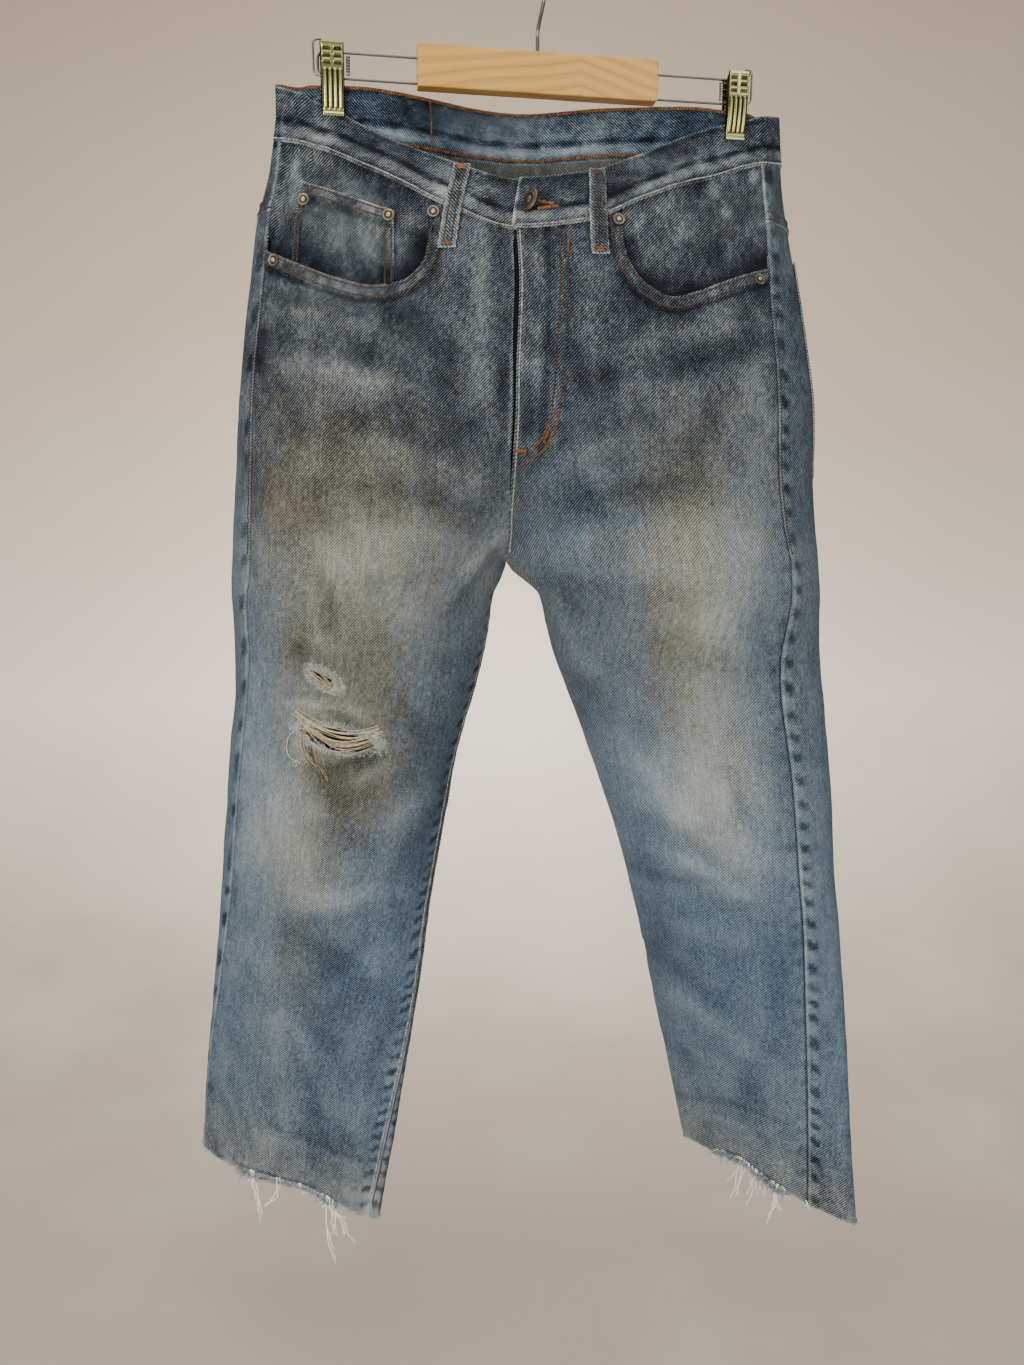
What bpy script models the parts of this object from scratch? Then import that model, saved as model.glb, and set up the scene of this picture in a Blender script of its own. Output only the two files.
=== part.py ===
"""Ripped straight-leg jeans on a wooden clip hanger, life size, in metres.

The origin is the underside of the hook's crown, where the hook rests on its rail. +Z is up, the
garment faces -Y, and the wearer's right leg is on the -X side. The hanger is turned a little on
its hook, so its bar runs along a line turned BAR_TURN from X.

Every cloth piece lies on one surface, worked out from two tables: HIP holds the cross-sections of
the body from the waist to the crotch, and LEG those of each leg from the crotch to the hem. A
piece is a grid of points on that surface, thickened to a closed wall.
"""

import math

import bmesh
import bpy
import numpy as np
from mathutils import Matrix, Vector

# ---------------------------------------------------------------- driving sizes
MM = 0.001
DENIM = 1.2 * MM            # one layer of cloth
BAND = 2.4 * MM             # the waistband is two layers
LOOP_THICK = 1.6 * MM
GAP = 0.3 * MM              # between neighbouring pieces
BAND_HEIGHT = 37.5 * MM
PANEL_OVER = 1.8 * MM       # from one layer's middle to the next layer's middle

RIGHT = -1                  # the wearer's right, on the -X side
LEFT = 1
SIDE_NAME = {RIGHT: "right", LEFT: "left"}

BLEND_TOP = -300 * MM       # here the body starts to divide into two legs
CROTCH_Z = -430 * MM
CROTCH_Y = 6 * MM

# Body sections. Lengths in millimetres, turns and seam places in degrees. The seam columns are
# angles from the side fold forward to the outseam; cf and cb place the centre front and back.
HIP_COLUMNS = ("z", "mid", "half", "y", "front", "back", "turn", "seam_right", "seam_left",
               "cf", "cb", "pinch")
HIP = (
    (-80, -2, 189, -0.3, 24, 56, -10, 10, 25, -21, 11, 1.0),
    (-113, -1, 191, -0.3, 28, 58, -10, 11, 25, -21, 11, 1.0),
    (-140, -3, 194, 0, 34, 61, -9, 14, 26, -19, 10, 0.4),
    (-180, -8, 202, 0, 47, 66, -6, 18, 28, -15, 7, 0.0),
    (-230, -10, 211, 0, 62, 71, -3, 21, 31, -9, 2, 0.0),
    (-300, -11, 222, 0, 73, 76, 0, 22, 32, -7, -4, 0.0),
    (-370, -11, 230, 2, 72, 78, 0, 24, 33, -11, -10, 0.0),
    (-430, -10, 236, 4, 66, 74, 0, 25, 30, -15, -15, 0.0),
)
# Leg sections, below the crotch. "out" and "in" are the angles from the outer and inner folds
# forward to the outseam and the inseam.
LEG_COLUMNS = ("z", "mid", "y", "half", "front", "back", "turn", "out", "in")
LEG = {
    RIGHT: (
        (-455, -142, 4, 106, 64, 68, 3, 37, 0),
        (-500, -147, 4, 103, 60, 64, 8, 40, 2),
        (-600, -167, 6, 98, 52, 56, 14, 42, 2),
        (-700, -183, 8, 98, 40, 44, 19, 40, 3),
        (-800, -198, 10, 102, 28, 32, 23, 32, 6),
        (-900, -215, 12, 104, 17, 21, 26, 21, 15),
        (-1005, -230, 13, 104, 12, 16, 29, 14, 24),
    ),
    LEFT: (
        (-455, 114, 4, 113, 64, 68, 3, 43, 0),
        (-500, 120, 4, 108, 60, 66, 12, 45, 0),
        (-600, 143, 6, 100, 50, 54, 24, 40, -4),
        (-700, 163, 8, 94, 41, 45, 33, 37, -8),
        (-800, 181, 10, 93, 31, 34, 38, 42, -14),
        (-900, 196, 11, 93, 23, 26, 44, 46, -22),
        (-1005, 213, 12, 94, 18, 23, 50, 53, -30),
    ),
}
FORK_DEPTHS = (66, 70)      # front and back depth of each leg where the legs part
CLEFT = 2.3 * MM            # half the least room between the two legs under the crotch

# The drooping edge of the front waistband: x, its top edge, its lower seam.
FRONT_EDGE = (
    (-191, -88, -125),
    (-150, -102, -133),
    (-115, -118, -149),
    (-67, -138, -173),
    (-17, -151, -188),
    (34, -143, -181),
    (75, -125, -162),
    (107, -108, -148),
    (131, -99, -138),
    (170, -90, -126),
    (191, -87, -124),
)
# Back waistband's top edge: across, height. It sags a little towards the clips.
BACK_EDGE = ((-190, -87), (-110, -84), (30, -77), (110, -83), (190, -88))
YOKE_SIDE = 46 * MM         # depth of the yoke under the waistband, at the side and the middle
YOKE_MIDDLE = 76 * MM

# Front pocket mouths: place across the panel (0 outseam, 1 centre), height of the edge.
POCKET_EDGE = {
    RIGHT: ((0.0, -199), (0.08, -202), (0.28, -213), (0.41, -221), (0.55, -227), (0.65, -224),
            (0.695, -216), (0.725, -203), (0.735, -170)),
    LEFT: ((0.0, -208), (0.11, -212), (0.27, -221), (0.40, -230), (0.49, -234), (0.57, -227),
           (0.63, -214), (0.66, -197), (0.67, -170)),
}
FACING_BELOW = 16 * MM      # how far a facing runs on behind the pocket's edge

# Raw hems: place across the panel, height.
HEM = {
    (RIGHT, True): ((0, -995), (0.2, -998), (0.35, -995), (0.5, -990), (0.65, -987), (0.8, -992),
                    (1, -998)),
    (RIGHT, False): ((0, -995), (0.15, -991), (0.5, -996), (1, -998)),
    (LEFT, True): ((0, -981), (0.2, -976), (0.28, -971), (0.35, -974), (0.44, -983), (0.6, -991),
                   (0.7, -998), (0.8, -1001), (1, -1002)),
    (LEFT, False): ((0, -981), (0.1, -983), (0.3, -988), (0.6, -990), (0.8, -994), (1, -1002)),
}
# Worn-through places on the right leg's front: x, z, length, height, tilt in degrees.
RIPS = (
    (-157, -557, 58, 17, -12),
    (-166, -515, 26, 12, -30),
)

# ---------------------------------------------------------------- smooth curves and sections


def smooth(x, xs, ys):
    """Cubic through the points (xs, ys) that never overshoots; ys may have several columns."""
    x = np.asarray(x, float)
    xs = np.asarray(xs, float)
    ys = np.asarray(ys, float)
    ys = ys.reshape(len(xs), -1)
    step = np.diff(xs)[:, None]
    slope = np.diff(ys, axis=0) / step
    tangent = np.zeros_like(ys)
    tangent[0], tangent[-1] = slope[0], slope[-1]
    before, after = slope[:-1], slope[1:]
    same_way = before * after > 0
    w_before = 2 * step[1:] + step[:-1]
    w_after = step[1:] + 2 * step[:-1]
    mean = (w_before + w_after) / (w_before / np.where(same_way, before, 1)
                                   + w_after / np.where(same_way, after, 1))
    tangent[1:-1] = np.where(same_way, mean, 0)
    i = np.clip(np.searchsorted(xs, x, side="right") - 1, 0, len(xs) - 2)
    t = np.clip((x - xs[i]) / step[i, 0], 0, 1)[..., None]
    h = step[i]
    value = ((2 * t**3 - 3 * t**2 + 1) * ys[i] + (t**3 - 2 * t**2 + t) * h * tangent[i]
             + (3 * t**2 - 2 * t**3) * ys[i + 1] + (t**3 - t**2) * h * tangent[i + 1])
    return value[..., 0] if value.shape[-1] == 1 else value


def read_table(rows, columns, lengths):
    """A table in millimetres as {column: array in metres}, with its first column rising."""
    data = np.array(sorted(rows), float)
    return {name: data[:, k] * (MM if name in lengths else 1) for k, name in enumerate(columns)}


LENGTHS = ("z", "mid", "half", "y", "front", "back", "cf", "cb")
HIP_TABLE = read_table(HIP, HIP_COLUMNS, LENGTHS)


def section_at(table, z):
    """Every column of a section table at the heights z."""
    names = [name for name in table if name != "z"]
    values = smooth(z, table["z"], np.stack([table[name] for name in names], 1))
    return {name: values[..., k] for k, name in enumerate(names)}


def leg_table(side):
    """The leg's table, with rows added above the crotch where the leg is half of the body."""
    rows = []
    for z in (-80, -200, -300, -360, -400, CROTCH_Z / MM):
        hip = section_at(HIP_TABLE, np.array([z * MM]))
        centre = (hip["mid"] + hip["cf"])[0]
        fold = (hip["mid"] + side * hip["half"])[0]
        half = abs(fold - centre) / 2
        seam = hip["seam_" + SIDE_NAME[side]][0]
        inset = hip["half"][0] * (1 - math.cos(math.radians(seam)))
        out = math.degrees(math.acos(1 - inset / half))
        rows.append((z, (centre + fold) / 2 / MM, CROTCH_Y / MM, half / MM) + FORK_DEPTHS
                    + (0, out, 0))
    return read_table(tuple(rows) + LEG[side], LEG_COLUMNS, LENGTHS)


LEG_TABLE = {side: leg_table(side) for side in (RIGHT, LEFT)}
CLIP_X = 152 * MM           # the clips' middles, where they pinch the waistband flat
FLAT_FROM = 139.0 * MM
FLAT_TO = 166.0 * MM
PINCH_HALF = 1.55 * MM      # half the distance between the two layers' middles in a clip
END_LOOP = 4.5 * MM         # the cloth rounds out again beyond a clip


def turned(mid, y, across, forward, turn):
    """Section coordinates to x and y; a turn brings the +X end towards the front."""
    angle = np.radians(turn)
    return (mid + across * np.cos(angle) - forward * np.sin(angle),
            y - across * np.sin(angle) - forward * np.cos(angle))


def body_xy(theta, z):
    """The body's section: theta 0 at the left fold, 90 in front, 180 at the right fold."""
    hip = section_at(HIP_TABLE, z)
    angle = np.radians(theta)
    across = hip["half"] * np.cos(angle)
    lift = np.sin(angle)
    depth = np.where(lift > 0, hip["front"], hip["back"])
    inside = np.clip(np.abs(across) / FLAT_FROM, 0, 1)
    beyond = np.clip((np.abs(across) - FLAT_TO) / (hip["half"] - FLAT_TO), 0, 1)
    pinched = (PINCH_HALF + (depth - PINCH_HALF) * np.cos(np.pi / 2 * inside)**2
               + END_LOOP * np.sin(np.pi * beyond**0.7)**1.5)
    pinched = pinched * np.sqrt(np.clip(1 - beyond**6, 0, 1)) * np.sign(lift)
    forward = depth * lift * (1 - hip["pinch"]) + pinched * hip["pinch"]
    return turned(hip["mid"], hip["y"], across, forward, hip["turn"])


def centre_angle(z, side, front):
    """Section angle of the centre seam, counted from the side fold of this side."""
    hip = section_at(HIP_TABLE, z)
    offset = hip["cf"] if front else hip["cb"]
    angle = np.degrees(np.arccos(side * offset / hip["half"]))
    return angle if front else -angle


def panel_angle(u, z, side, front):
    """The body's section angle at a place u of a panel."""
    seam = section_at(HIP_TABLE, z)["seam_" + SIDE_NAME[side]]
    theta = seam + (centre_angle(z, side, front) - seam) * u
    return theta if side == LEFT else 180 - theta


def surface(u, z, side, front):
    """Point of a panel's middle surface; u runs from 0, the outseam, to 1, centre or inseam."""
    u, z = np.broadcast_arrays(np.asarray(u, float), np.asarray(z, float))
    hip_x, hip_y = body_xy(panel_angle(u, z, side, front), z)
    leg = section_at(LEG_TABLE[side], z)
    end = (180 if front else -180) - leg["in"]
    angle = np.radians(leg["out"] + (end - leg["out"]) * u)
    across = side * leg["half"] * np.cos(angle)
    forward = np.where(np.sin(angle) > 0, leg["front"], leg["back"]) * np.sin(angle)
    leg_x, leg_y = turned(leg["mid"], leg["y"], across, forward, leg["turn"])
    t = np.clip((BLEND_TOP - z) / (BLEND_TOP - CROTCH_Z), 0, 1)
    arch = 1 - np.sqrt(1 - t * t)
    even = t * t * (3 - 2 * t)
    part = even + (arch - even) * u**6
    below = z < CROTCH_Z + 0.1 * MM
    fade = np.clip(1 - (CROTCH_Z - z) / (50 * MM), 0, 1) * np.clip(2 * u - 1, 0, 1)
    apart = np.where(below, 1, np.clip((1 - u) / 0.035, 0, 1) * np.clip(arch * 2.5, 0, 1))
    apart = side * CLEFT * apart * fade
    x = hip_x + (leg_x - hip_x) * part + apart
    return np.stack([x, hip_y + (leg_y - hip_y) * part, z], -1)


def unit(v):
    return v / np.maximum(np.linalg.norm(v, axis=-1, keepdims=True), 1e-9)


STEP_U = 0.004
STEP_Z = 0.8 * MM


def own_normal(u, z, side, front):
    """Outward normal of one panel's surface, by differences that stay inside the panel."""
    u0, u1 = np.clip(u - STEP_U, 0, 1), np.clip(u + STEP_U, 0, 1)
    z0, z1 = z - STEP_Z, z + STEP_Z
    across = surface(u1, z, side, front) - surface(u0, z, side, front)
    up = surface(u, z1, side, front) - surface(u, z0, side, front)
    sign = side if front else -side
    return unit(np.cross(across, up)) * -sign


def panel_normal(u, z, side, front):
    """Normal shared by the panels that meet at a seam, so their walls stay parallel there."""
    n = own_normal(u, z, side, front)
    at_side = (u < 1e-6)[..., None]
    n = np.where(at_side, unit(n + own_normal(u, z, side, not front)), n)
    at_end = (u > 1 - 1e-6)[..., None]
    above = (z > CROTCH_Z + 0.1 * MM)[..., None]
    n = np.where(at_end & above, unit(n + own_normal(u, z, -side, front)), n)
    return np.where(at_end & ~above, unit(n + own_normal(u, z, side, not front)), n)


def body_point(theta, z):
    x, y = body_xy(theta, z)
    return np.stack([x, y, np.broadcast_to(z, x.shape)], -1)


def body_normal(theta, z):
    across = body_point(theta + 0.6, z) - body_point(theta - 0.6, z)
    up = body_point(theta, z + STEP_Z) - body_point(theta, z - STEP_Z)
    return unit(np.cross(across, up)) * -1


def place_across(x, z, side, front):
    """The place u on a panel where its surface stands at x, at height z."""
    u = np.linspace(0.02, 1, 99)
    line = surface(u, np.full(99, float(z)), side, front)[:, 0]
    order = np.argsort(line)
    return float(np.interp(x, line[order], u[order]))


def angle_at(x, z, front):
    """Section angle where the body's surface stands at x, at height z."""
    theta = np.linspace(4, 176, 173) * (1 if front else -1)
    line = body_xy(theta, np.full(173, float(z)))[0]
    return float(np.interp(x, line[::-1], theta[::-1]))


# ---------------------------------------------------------------- edges


def front_edge(x, lower):
    table = np.array(FRONT_EDGE, float) * MM
    top, seam = smooth(x, table[:, 0], table[:, 1]), smooth(x, table[:, 0], table[:, 2])
    return np.where(lower, seam, top)


def back_edge(x, lower):
    table = np.array(BACK_EDGE, float) * MM
    return smooth(x, table[:, 0], table[:, 1]) - np.where(lower, BAND_HEIGHT, 0)


def band_edge(theta, lower):
    """Height of the waistband's top edge or lower seam at a section angle."""
    in_front = np.sin(np.radians(theta)) >= 0
    z = np.full(np.shape(theta), -120 * MM)
    for _ in range(6):
        x = body_xy(theta, z)[0]
        z = np.where(in_front, front_edge(x, lower), back_edge(x, lower))
    return z


def band_seam(u, side, front):
    """Height of the waistband's lower seam above a place u on a panel."""
    z = np.full(np.shape(u), -130 * MM)
    for _ in range(4):
        z = band_edge(panel_angle(u, z, side, front), True)
    return z


def yoke_seam(u, side):
    return band_seam(u, side, False) - (YOKE_SIDE + (YOKE_MIDDLE - YOKE_SIDE) * u)


def pocket_edge(u, side):
    table = np.array(POCKET_EDGE[side], float)
    return smooth(u, table[:, 0], table[:, 1] * MM)


def hem_edge(u, side, front):
    table = np.array(HEM[(side, front)], float)
    return smooth(u, table[:, 0], table[:, 1] * MM)


# ---------------------------------------------------------------- meshes and materials


def material(name, colour, rough=0.85, metal=0.0):
    made = bpy.data.materials.new(name)
    made.use_nodes = True
    shader = made.node_tree.nodes["Principled BSDF"]
    shader.inputs["Base Color"].default_value = (*colour, 1)
    shader.inputs["Roughness"].default_value = rough
    shader.inputs["Metallic"].default_value = metal
    return made


def add_object(name, points, faces, finish, parent=None):
    mesh = bpy.data.meshes.new(name)
    mesh.from_pydata([tuple(p) for p in points], [], [tuple(f) for f in faces])
    made = bpy.data.objects.new(name, mesh)
    bpy.context.scene.collection.objects.link(made)
    mesh.materials.append(finish)
    mesh.shade_smooth()
    mesh.set_sharp_from_angle(angle=math.radians(40))
    made.parent = parent
    return made


def wall(name, middle, normal, thickness, finish, offset=0.0):
    """Closed wall from grids (columns, rows, 3) of middle points and normals."""
    centre = middle + normal * offset
    outer = centre + normal * (thickness / 2)
    inner = centre - normal * (thickness / 2)
    columns, rows = middle.shape[:2]
    points = np.concatenate([outer.reshape(-1, 3), inner.reshape(-1, 3)])
    number = np.arange(columns * rows).reshape(columns, rows)
    back = number + columns * rows
    faces = []
    for i in range(columns - 1):
        for j in range(rows - 1):
            faces.append((number[i, j], number[i + 1, j], number[i + 1, j + 1], number[i, j + 1]))
            faces.append((back[i, j], back[i, j + 1], back[i + 1, j + 1], back[i + 1, j]))
    rim = ([(i, 0) for i in range(columns)] + [(columns - 1, j) for j in range(1, rows)]
           + [(i, rows - 1) for i in range(columns - 2, -1, -1)]
           + [(0, j) for j in range(rows - 2, 0, -1)])
    for (a, b), (c, d) in zip(rim, rim[1:] + rim[:1]):
        faces.append((number[a, b], back[a, b], back[c, d], number[c, d]))
    made = add_object(name, points, faces, finish)
    turn_outward(made)
    return made


def turn_outward(made):
    """Point every face of a closed mesh outward."""
    work = bmesh.new()
    work.from_mesh(made.data)
    bmesh.ops.recalc_face_normals(work, faces=work.faces)
    if work.calc_volume(signed=True) < 0:
        bmesh.ops.reverse_faces(work, faces=work.faces)
    work.to_mesh(made.data)
    work.free()


def shrink_edges(grid, amount, edges="lrtb"):
    """Pull the grid's named edges in by the amount: l, r first and last column, t, b rows."""
    grid = grid.copy()
    if "l" in edges:
        grid[0] += unit(grid[1] - grid[0]) * amount
    if "r" in edges:
        grid[-1] += unit(grid[-2] - grid[-1]) * amount
    if "t" in edges:
        grid[:, 0] += unit(grid[:, 1] - grid[:, 0]) * amount
    if "b" in edges:
        grid[:, -1] += unit(grid[:, -2] - grid[:, -1]) * amount
    return grid


# ---------------------------------------------------------------- panels

SEAM_INSET = 0.28 * MM
UPPER_ROWS = np.array([0, 0.08, 0.18, 0.29, 0.4, 0.51, 0.62, 0.72, 0.81, 0.89, 0.95, 0.985])
LOWER_ROWS = np.array([0, 0.012, 0.03, 0.06, 0.1, 0.15, 0.21, 0.27, 0.33, 0.39, 0.45, 0.51,
                       0.57, 0.63, 0.69, 0.75, 0.81, 0.87, 0.94, 1.0])


def panel_grid(columns, top, side, front):
    """Grid of a leg panel from its top edge to the hem, with level rows at the crotch."""
    u = columns[:, None]
    z_top = top[:, None]
    z_hem = hem_edge(columns, side, front)[:, None]
    upper = z_top + (CROTCH_Z - z_top) * UPPER_ROWS[None, :]
    lower = CROTCH_Z + (z_hem - CROTCH_Z) * LOWER_ROWS[None, :]
    z = np.concatenate([upper, lower], 1)
    u = np.broadcast_to(u, z.shape)
    middle = surface(u, z, side, front)
    normal = panel_normal(u, z, side, front)
    middle = shrink_edges(middle, SEAM_INSET)
    crotch_row = len(UPPER_ROWS)
    middle[-1, crotch_row] += unit(middle[-2, crotch_row] - middle[-1, crotch_row]) * 1.2 * MM
    return middle, normal


PANEL_COLUMNS = np.array([0, 0.1, 0.22, 0.35, 0.48, 0.61, 0.74, 0.87, 0.96, 1.0])


def front_columns(side):
    mouth = np.array(POCKET_EDGE[side])[:, 0]
    return np.unique(np.concatenate([mouth, [0.18, 0.34, 0.75, 0.82, 0.91, 0.965, 1.0]]))


def front_panel(side, denim):
    """Front of a leg, with the pocket's mouth scooped out of its upper outer corner."""
    columns = front_columns(side)
    seam = band_seam(columns, side, True)
    top = np.where(columns < POCKET_EDGE[side][-1][0], pocket_edge(columns, side), seam)
    middle, normal = panel_grid(columns, top, side, True)
    return wall("front_panel_" + SIDE_NAME[side], middle, normal, DENIM, denim)


def back_panel(side, denim):
    top = yoke_seam(PANEL_COLUMNS, side)
    middle, normal = panel_grid(PANEL_COLUMNS, top, side, False)
    return wall("back_panel_" + SIDE_NAME[side], middle, normal, DENIM, denim)


def patch(name, columns, top, bottom, side, front, thickness, offset, finish, rows=5, inset="lrtb"):
    """A piece on or under a panel, between two edges given at each column."""
    t = np.linspace(0, 1, rows)[None, :]
    z = top[:, None] + (bottom - top)[:, None] * t
    u = np.broadcast_to(columns[:, None], z.shape)
    middle = shrink_edges(surface(u, z, side, front), SEAM_INSET, inset)
    return wall(name, middle, panel_normal(u, z, side, front), thickness, finish, offset)


def yoke(side, denim):
    top = band_seam(PANEL_COLUMNS, side, False) - GAP
    bottom = yoke_seam(PANEL_COLUMNS, side)
    return patch("yoke_" + SIDE_NAME[side], PANEL_COLUMNS, top, bottom, side, False, DENIM, 0,
                 denim)


def pocket_facing(side, denim):
    """The cloth that shows in the pocket's mouth, running on behind the front panel."""
    mouth = np.array(POCKET_EDGE[side])[:, 0]
    columns = np.concatenate([np.linspace(0, mouth[-2], 9), [mouth[-1] + 0.03]])
    top = band_seam(columns, side, True)
    bottom = pocket_edge(np.minimum(columns, mouth[-2]), side) - FACING_BELOW
    depth = PANEL_OVER * (2 if side == RIGHT else 1)
    return patch("pocket_facing_" + SIDE_NAME[side], columns, top, bottom, side, True, DENIM,
                 -depth, denim)


def coin_pocket(denim):
    """Small pocket on the right facing, between the facing and the front panel."""
    columns = np.linspace(0.19, 0.615, 7)
    rise = 5 * MM * np.sin(np.pi * (columns - 0.19) / 0.425)
    top = (-163 - 30 * (columns - 0.19)) * MM - rise + 5 * MM
    bottom = pocket_edge(columns, RIGHT) - 8 * MM
    return patch("coin_pocket", columns, top, bottom, RIGHT, True, DENIM, -PANEL_OVER, denim)


POCKET_COLUMNS = (2, 7)     # the back pocket spans these columns of the back panel's grid
POCKET_ROWS = (1, 8)        # and these rows
POCKET_POINT = 20 * MM      # its lower corners lie this much above its point


def back_pocket(side, denim):
    """Plain five-sided patch pocket on the seat, made from the panel's own points."""
    first, last = POCKET_COLUMNS
    columns = PANEL_COLUMNS[first:last]
    top = yoke_seam(columns, side)[:, None]
    fractions = UPPER_ROWS[POCKET_ROWS[0]:POCKET_ROWS[1] + 1]
    z = top + (CROTCH_Z - top) * fractions[None, :]
    middle_column = (columns[0] + columns[-1]) / 2
    from_middle = np.abs(columns - middle_column) / (columns[-1] - middle_column)
    z[:, -1] += POCKET_POINT * from_middle
    u = np.broadcast_to(columns[:, None], z.shape)
    middle = surface(u, z, side, False)
    return wall("back_pocket_" + SIDE_NAME[side], middle, panel_normal(u, z, side, False), DENIM,
                denim, PANEL_OVER)


FLY_COLUMNS = ((RIGHT, 0.93), (RIGHT, 0.965), (LEFT, 1.0), (LEFT, 0.965), (LEFT, 0.91),
               (LEFT, 0.82))


def fly_underlay(denim):
    """Strip behind the centre front, which shows in the gap beside the fly's edge."""
    z = np.linspace(-194, -352, 12) * MM
    middle = np.stack([surface(np.full(12, u), z, side, True) for side, u in FLY_COLUMNS])
    normal = np.stack([panel_normal(np.full(12, u), z, side, True) for side, u in FLY_COLUMNS])
    return wall("fly_underlay", middle, normal, DENIM, denim, -PANEL_OVER - 2 * GAP)


# ---------------------------------------------------------------- waistband and loops

OVERLAP_END = 95.0          # section angle of the buttoned end, just past the centre front
UNDERLAP_START = 84.0
STACK = 1.4 * MM            # each of the two ends moves this far off the middle surface


def band_offset(turns):
    """The two ends of the waistband lie one over the other at the centre front."""
    lower = np.interp(turns, [UNDERLAP_START, 98, 108], [-STACK, -STACK, 0])
    upper = np.interp(turns, [439, 444, 360 + OVERLAP_END], [0, STACK, STACK])
    return lower + upper


def loop_angles(row):
    """Section angles of a loop's middle, at its top and at its bottom."""
    _, x_top, x_bottom, drop, front = row
    top = angle_at(x_top * MM, (-105 if front else -86) * MM, front)
    return (top, angle_at(x_bottom * MM, (-105 - drop) * MM, True) if front else top)


LOOP_SPREAD = 1.85          # half a loop's width as a section angle


def waistband(denim):
    turns = [np.linspace(UNDERLAP_START, 108, 5), np.linspace(108, 172, 9),
             (176, 180, 184, 188), np.linspace(196, 344, 17), (352, 356, 360, 364, 368),
             np.linspace(368, 428, 9), (433, 439, 444, 449.5, 360 + OVERLAP_END)]
    for edge in (FLAT_FROM, FLAT_TO):
        angle = math.degrees(math.acos(edge / (190 * MM)))
        turns.append((180 - angle, 180 + angle, 360 - angle, 360 + angle))
    for row in LOOPS:
        middle = loop_angles(row)[0] % 360
        middle = middle + 360 if middle < UNDERLAP_START else middle
        turns.append((middle - LOOP_SPREAD, middle, middle + LOOP_SPREAD))
    turns = np.unique(np.concatenate(turns))
    close = np.diff(turns, prepend=0) < 0.4
    turns = turns[~close]
    top, bottom = band_edge(turns, False), band_edge(turns, True) + GAP
    z = top[:, None] + (bottom - top)[:, None] * np.linspace(0, 1, 5)[None, :]
    theta = np.broadcast_to(turns[:, None], z.shape)
    middle = shrink_edges(body_point(theta, z), GAP, "b")
    normal = body_normal(theta, z)
    middle = middle + normal * band_offset(turns)[:, None, None]
    return wall("waistband", middle, normal, BAND, denim)


# Belt loops: name, x at the top and at the bottom, length, and whether it is in front. The
# loops behind stand where those of a five-loop waistband do.
LOOPS = (
    ("front_right", -54.5, -61.5, 60, True),
    ("front_left", 40.5, 44, 63, True),
    ("back_right", -94, -94, 50, False),
    ("back_left", 99, 99, 50, False),
    ("centre_back", 4, 4, 50, False),
)
LOOP_ROWS = np.array([0, 0.06, 0.16, 0.34, 0.52, 0.64, 0.72, 0.8, 0.9, 1.0])
LOOP_BOW = np.array([0, 0.1, 0.7, 1.0, 1.0, 0.8, 0.5, 0.2, 0.0, 0.0]) * 1.0 * MM


def belt_loop(row, denim):
    """A folded strip that stands a little off the waistband between its two ends."""
    top_angle, bottom_angle = loop_angles(row)
    angles = top_angle + (bottom_angle - top_angle) * LOOP_ROWS
    edge, seam = band_edge(np.array([top_angle] * 2), np.array([False, True]))
    z = edge - 1 * MM - row[3] * MM * LOOP_ROWS
    theta = angles[None, :] + np.array([[-LOOP_SPREAD], [0], [LOOP_SPREAD]])
    z = np.broadcast_to(z[None, :], theta.shape)
    band_part = np.clip((z - (seam - 4 * MM)) / (3 * MM), 0, 1)
    rest = (DENIM + LOOP_THICK) / 2 + GAP * 4
    lift = rest + (BAND / 2 - DENIM / 2) * band_part + LOOP_BOW[None, :]
    normal = body_normal(theta, z)
    middle = body_point(theta, z) + normal * lift[..., None]
    return wall("belt_loop_" + row[0], middle, normal, LOOP_THICK, denim)


# ---------------------------------------------------------------- button, rivets, rips, fringe


def disc(name, place, normal, radius, height, finish, dome=0.0, parent=None):
    """A turned disc whose back lies at the place, facing along the normal."""
    work = bmesh.new()
    profile = [(radius * 0.92, 0.0), (radius, height * 0.3), (radius, height * 0.7),
               (radius * 0.86, height), (radius * 0.45, height + dome)]
    sides = 24
    rings = []
    for r, h in profile:
        rings.append([work.verts.new((r * math.cos(a), r * math.sin(a), h))
                      for a in np.linspace(0, 2 * math.pi, sides, endpoint=False)])
    for lower, upper in zip(rings, rings[1:]):
        for k in range(sides):
            nxt = (k + 1) % sides
            work.faces.new((lower[k], lower[nxt], upper[nxt], upper[k]))
    work.faces.new(rings[0][::-1])
    work.faces.new(rings[-1])
    bmesh.ops.transform(work, verts=work.verts,
                        matrix=Matrix.Translation(place) @ facing(normal))
    mesh = bpy.data.meshes.new(name)
    work.to_mesh(mesh)
    work.free()
    made = bpy.data.objects.new(name, mesh)
    bpy.context.scene.collection.objects.link(made)
    mesh.materials.append(finish)
    mesh.shade_smooth()
    mesh.set_sharp_from_angle(angle=math.radians(35))
    made.parent = parent
    return made


def facing(normal):
    return Vector(normal).to_track_quat("Z", "Y").to_matrix().to_4x4()


# Rivets: name, side, x, z, layers beneath the front panel's own surface.
RIVETS = (
    ("pocket_right_inner", RIGHT, -79.8, -177, 0),
    ("pocket_right_outer", RIGHT, -194, -206.5, 0),
    ("pocket_left_inner", LEFT, 56, -179, 0),
    ("pocket_left_outer", LEFT, 163, -217, 0),
    ("coin_outer", RIGHT, -170, -168.5, -1),
    ("coin_inner", RIGHT, -110, -182, -1),
)
RIVET_RADIUS = 4.4 * MM
BUTTON_RADIUS = 8.5 * MM
BUTTON_X, BUTTON_Z = -8 * MM, -169 * MM


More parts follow.
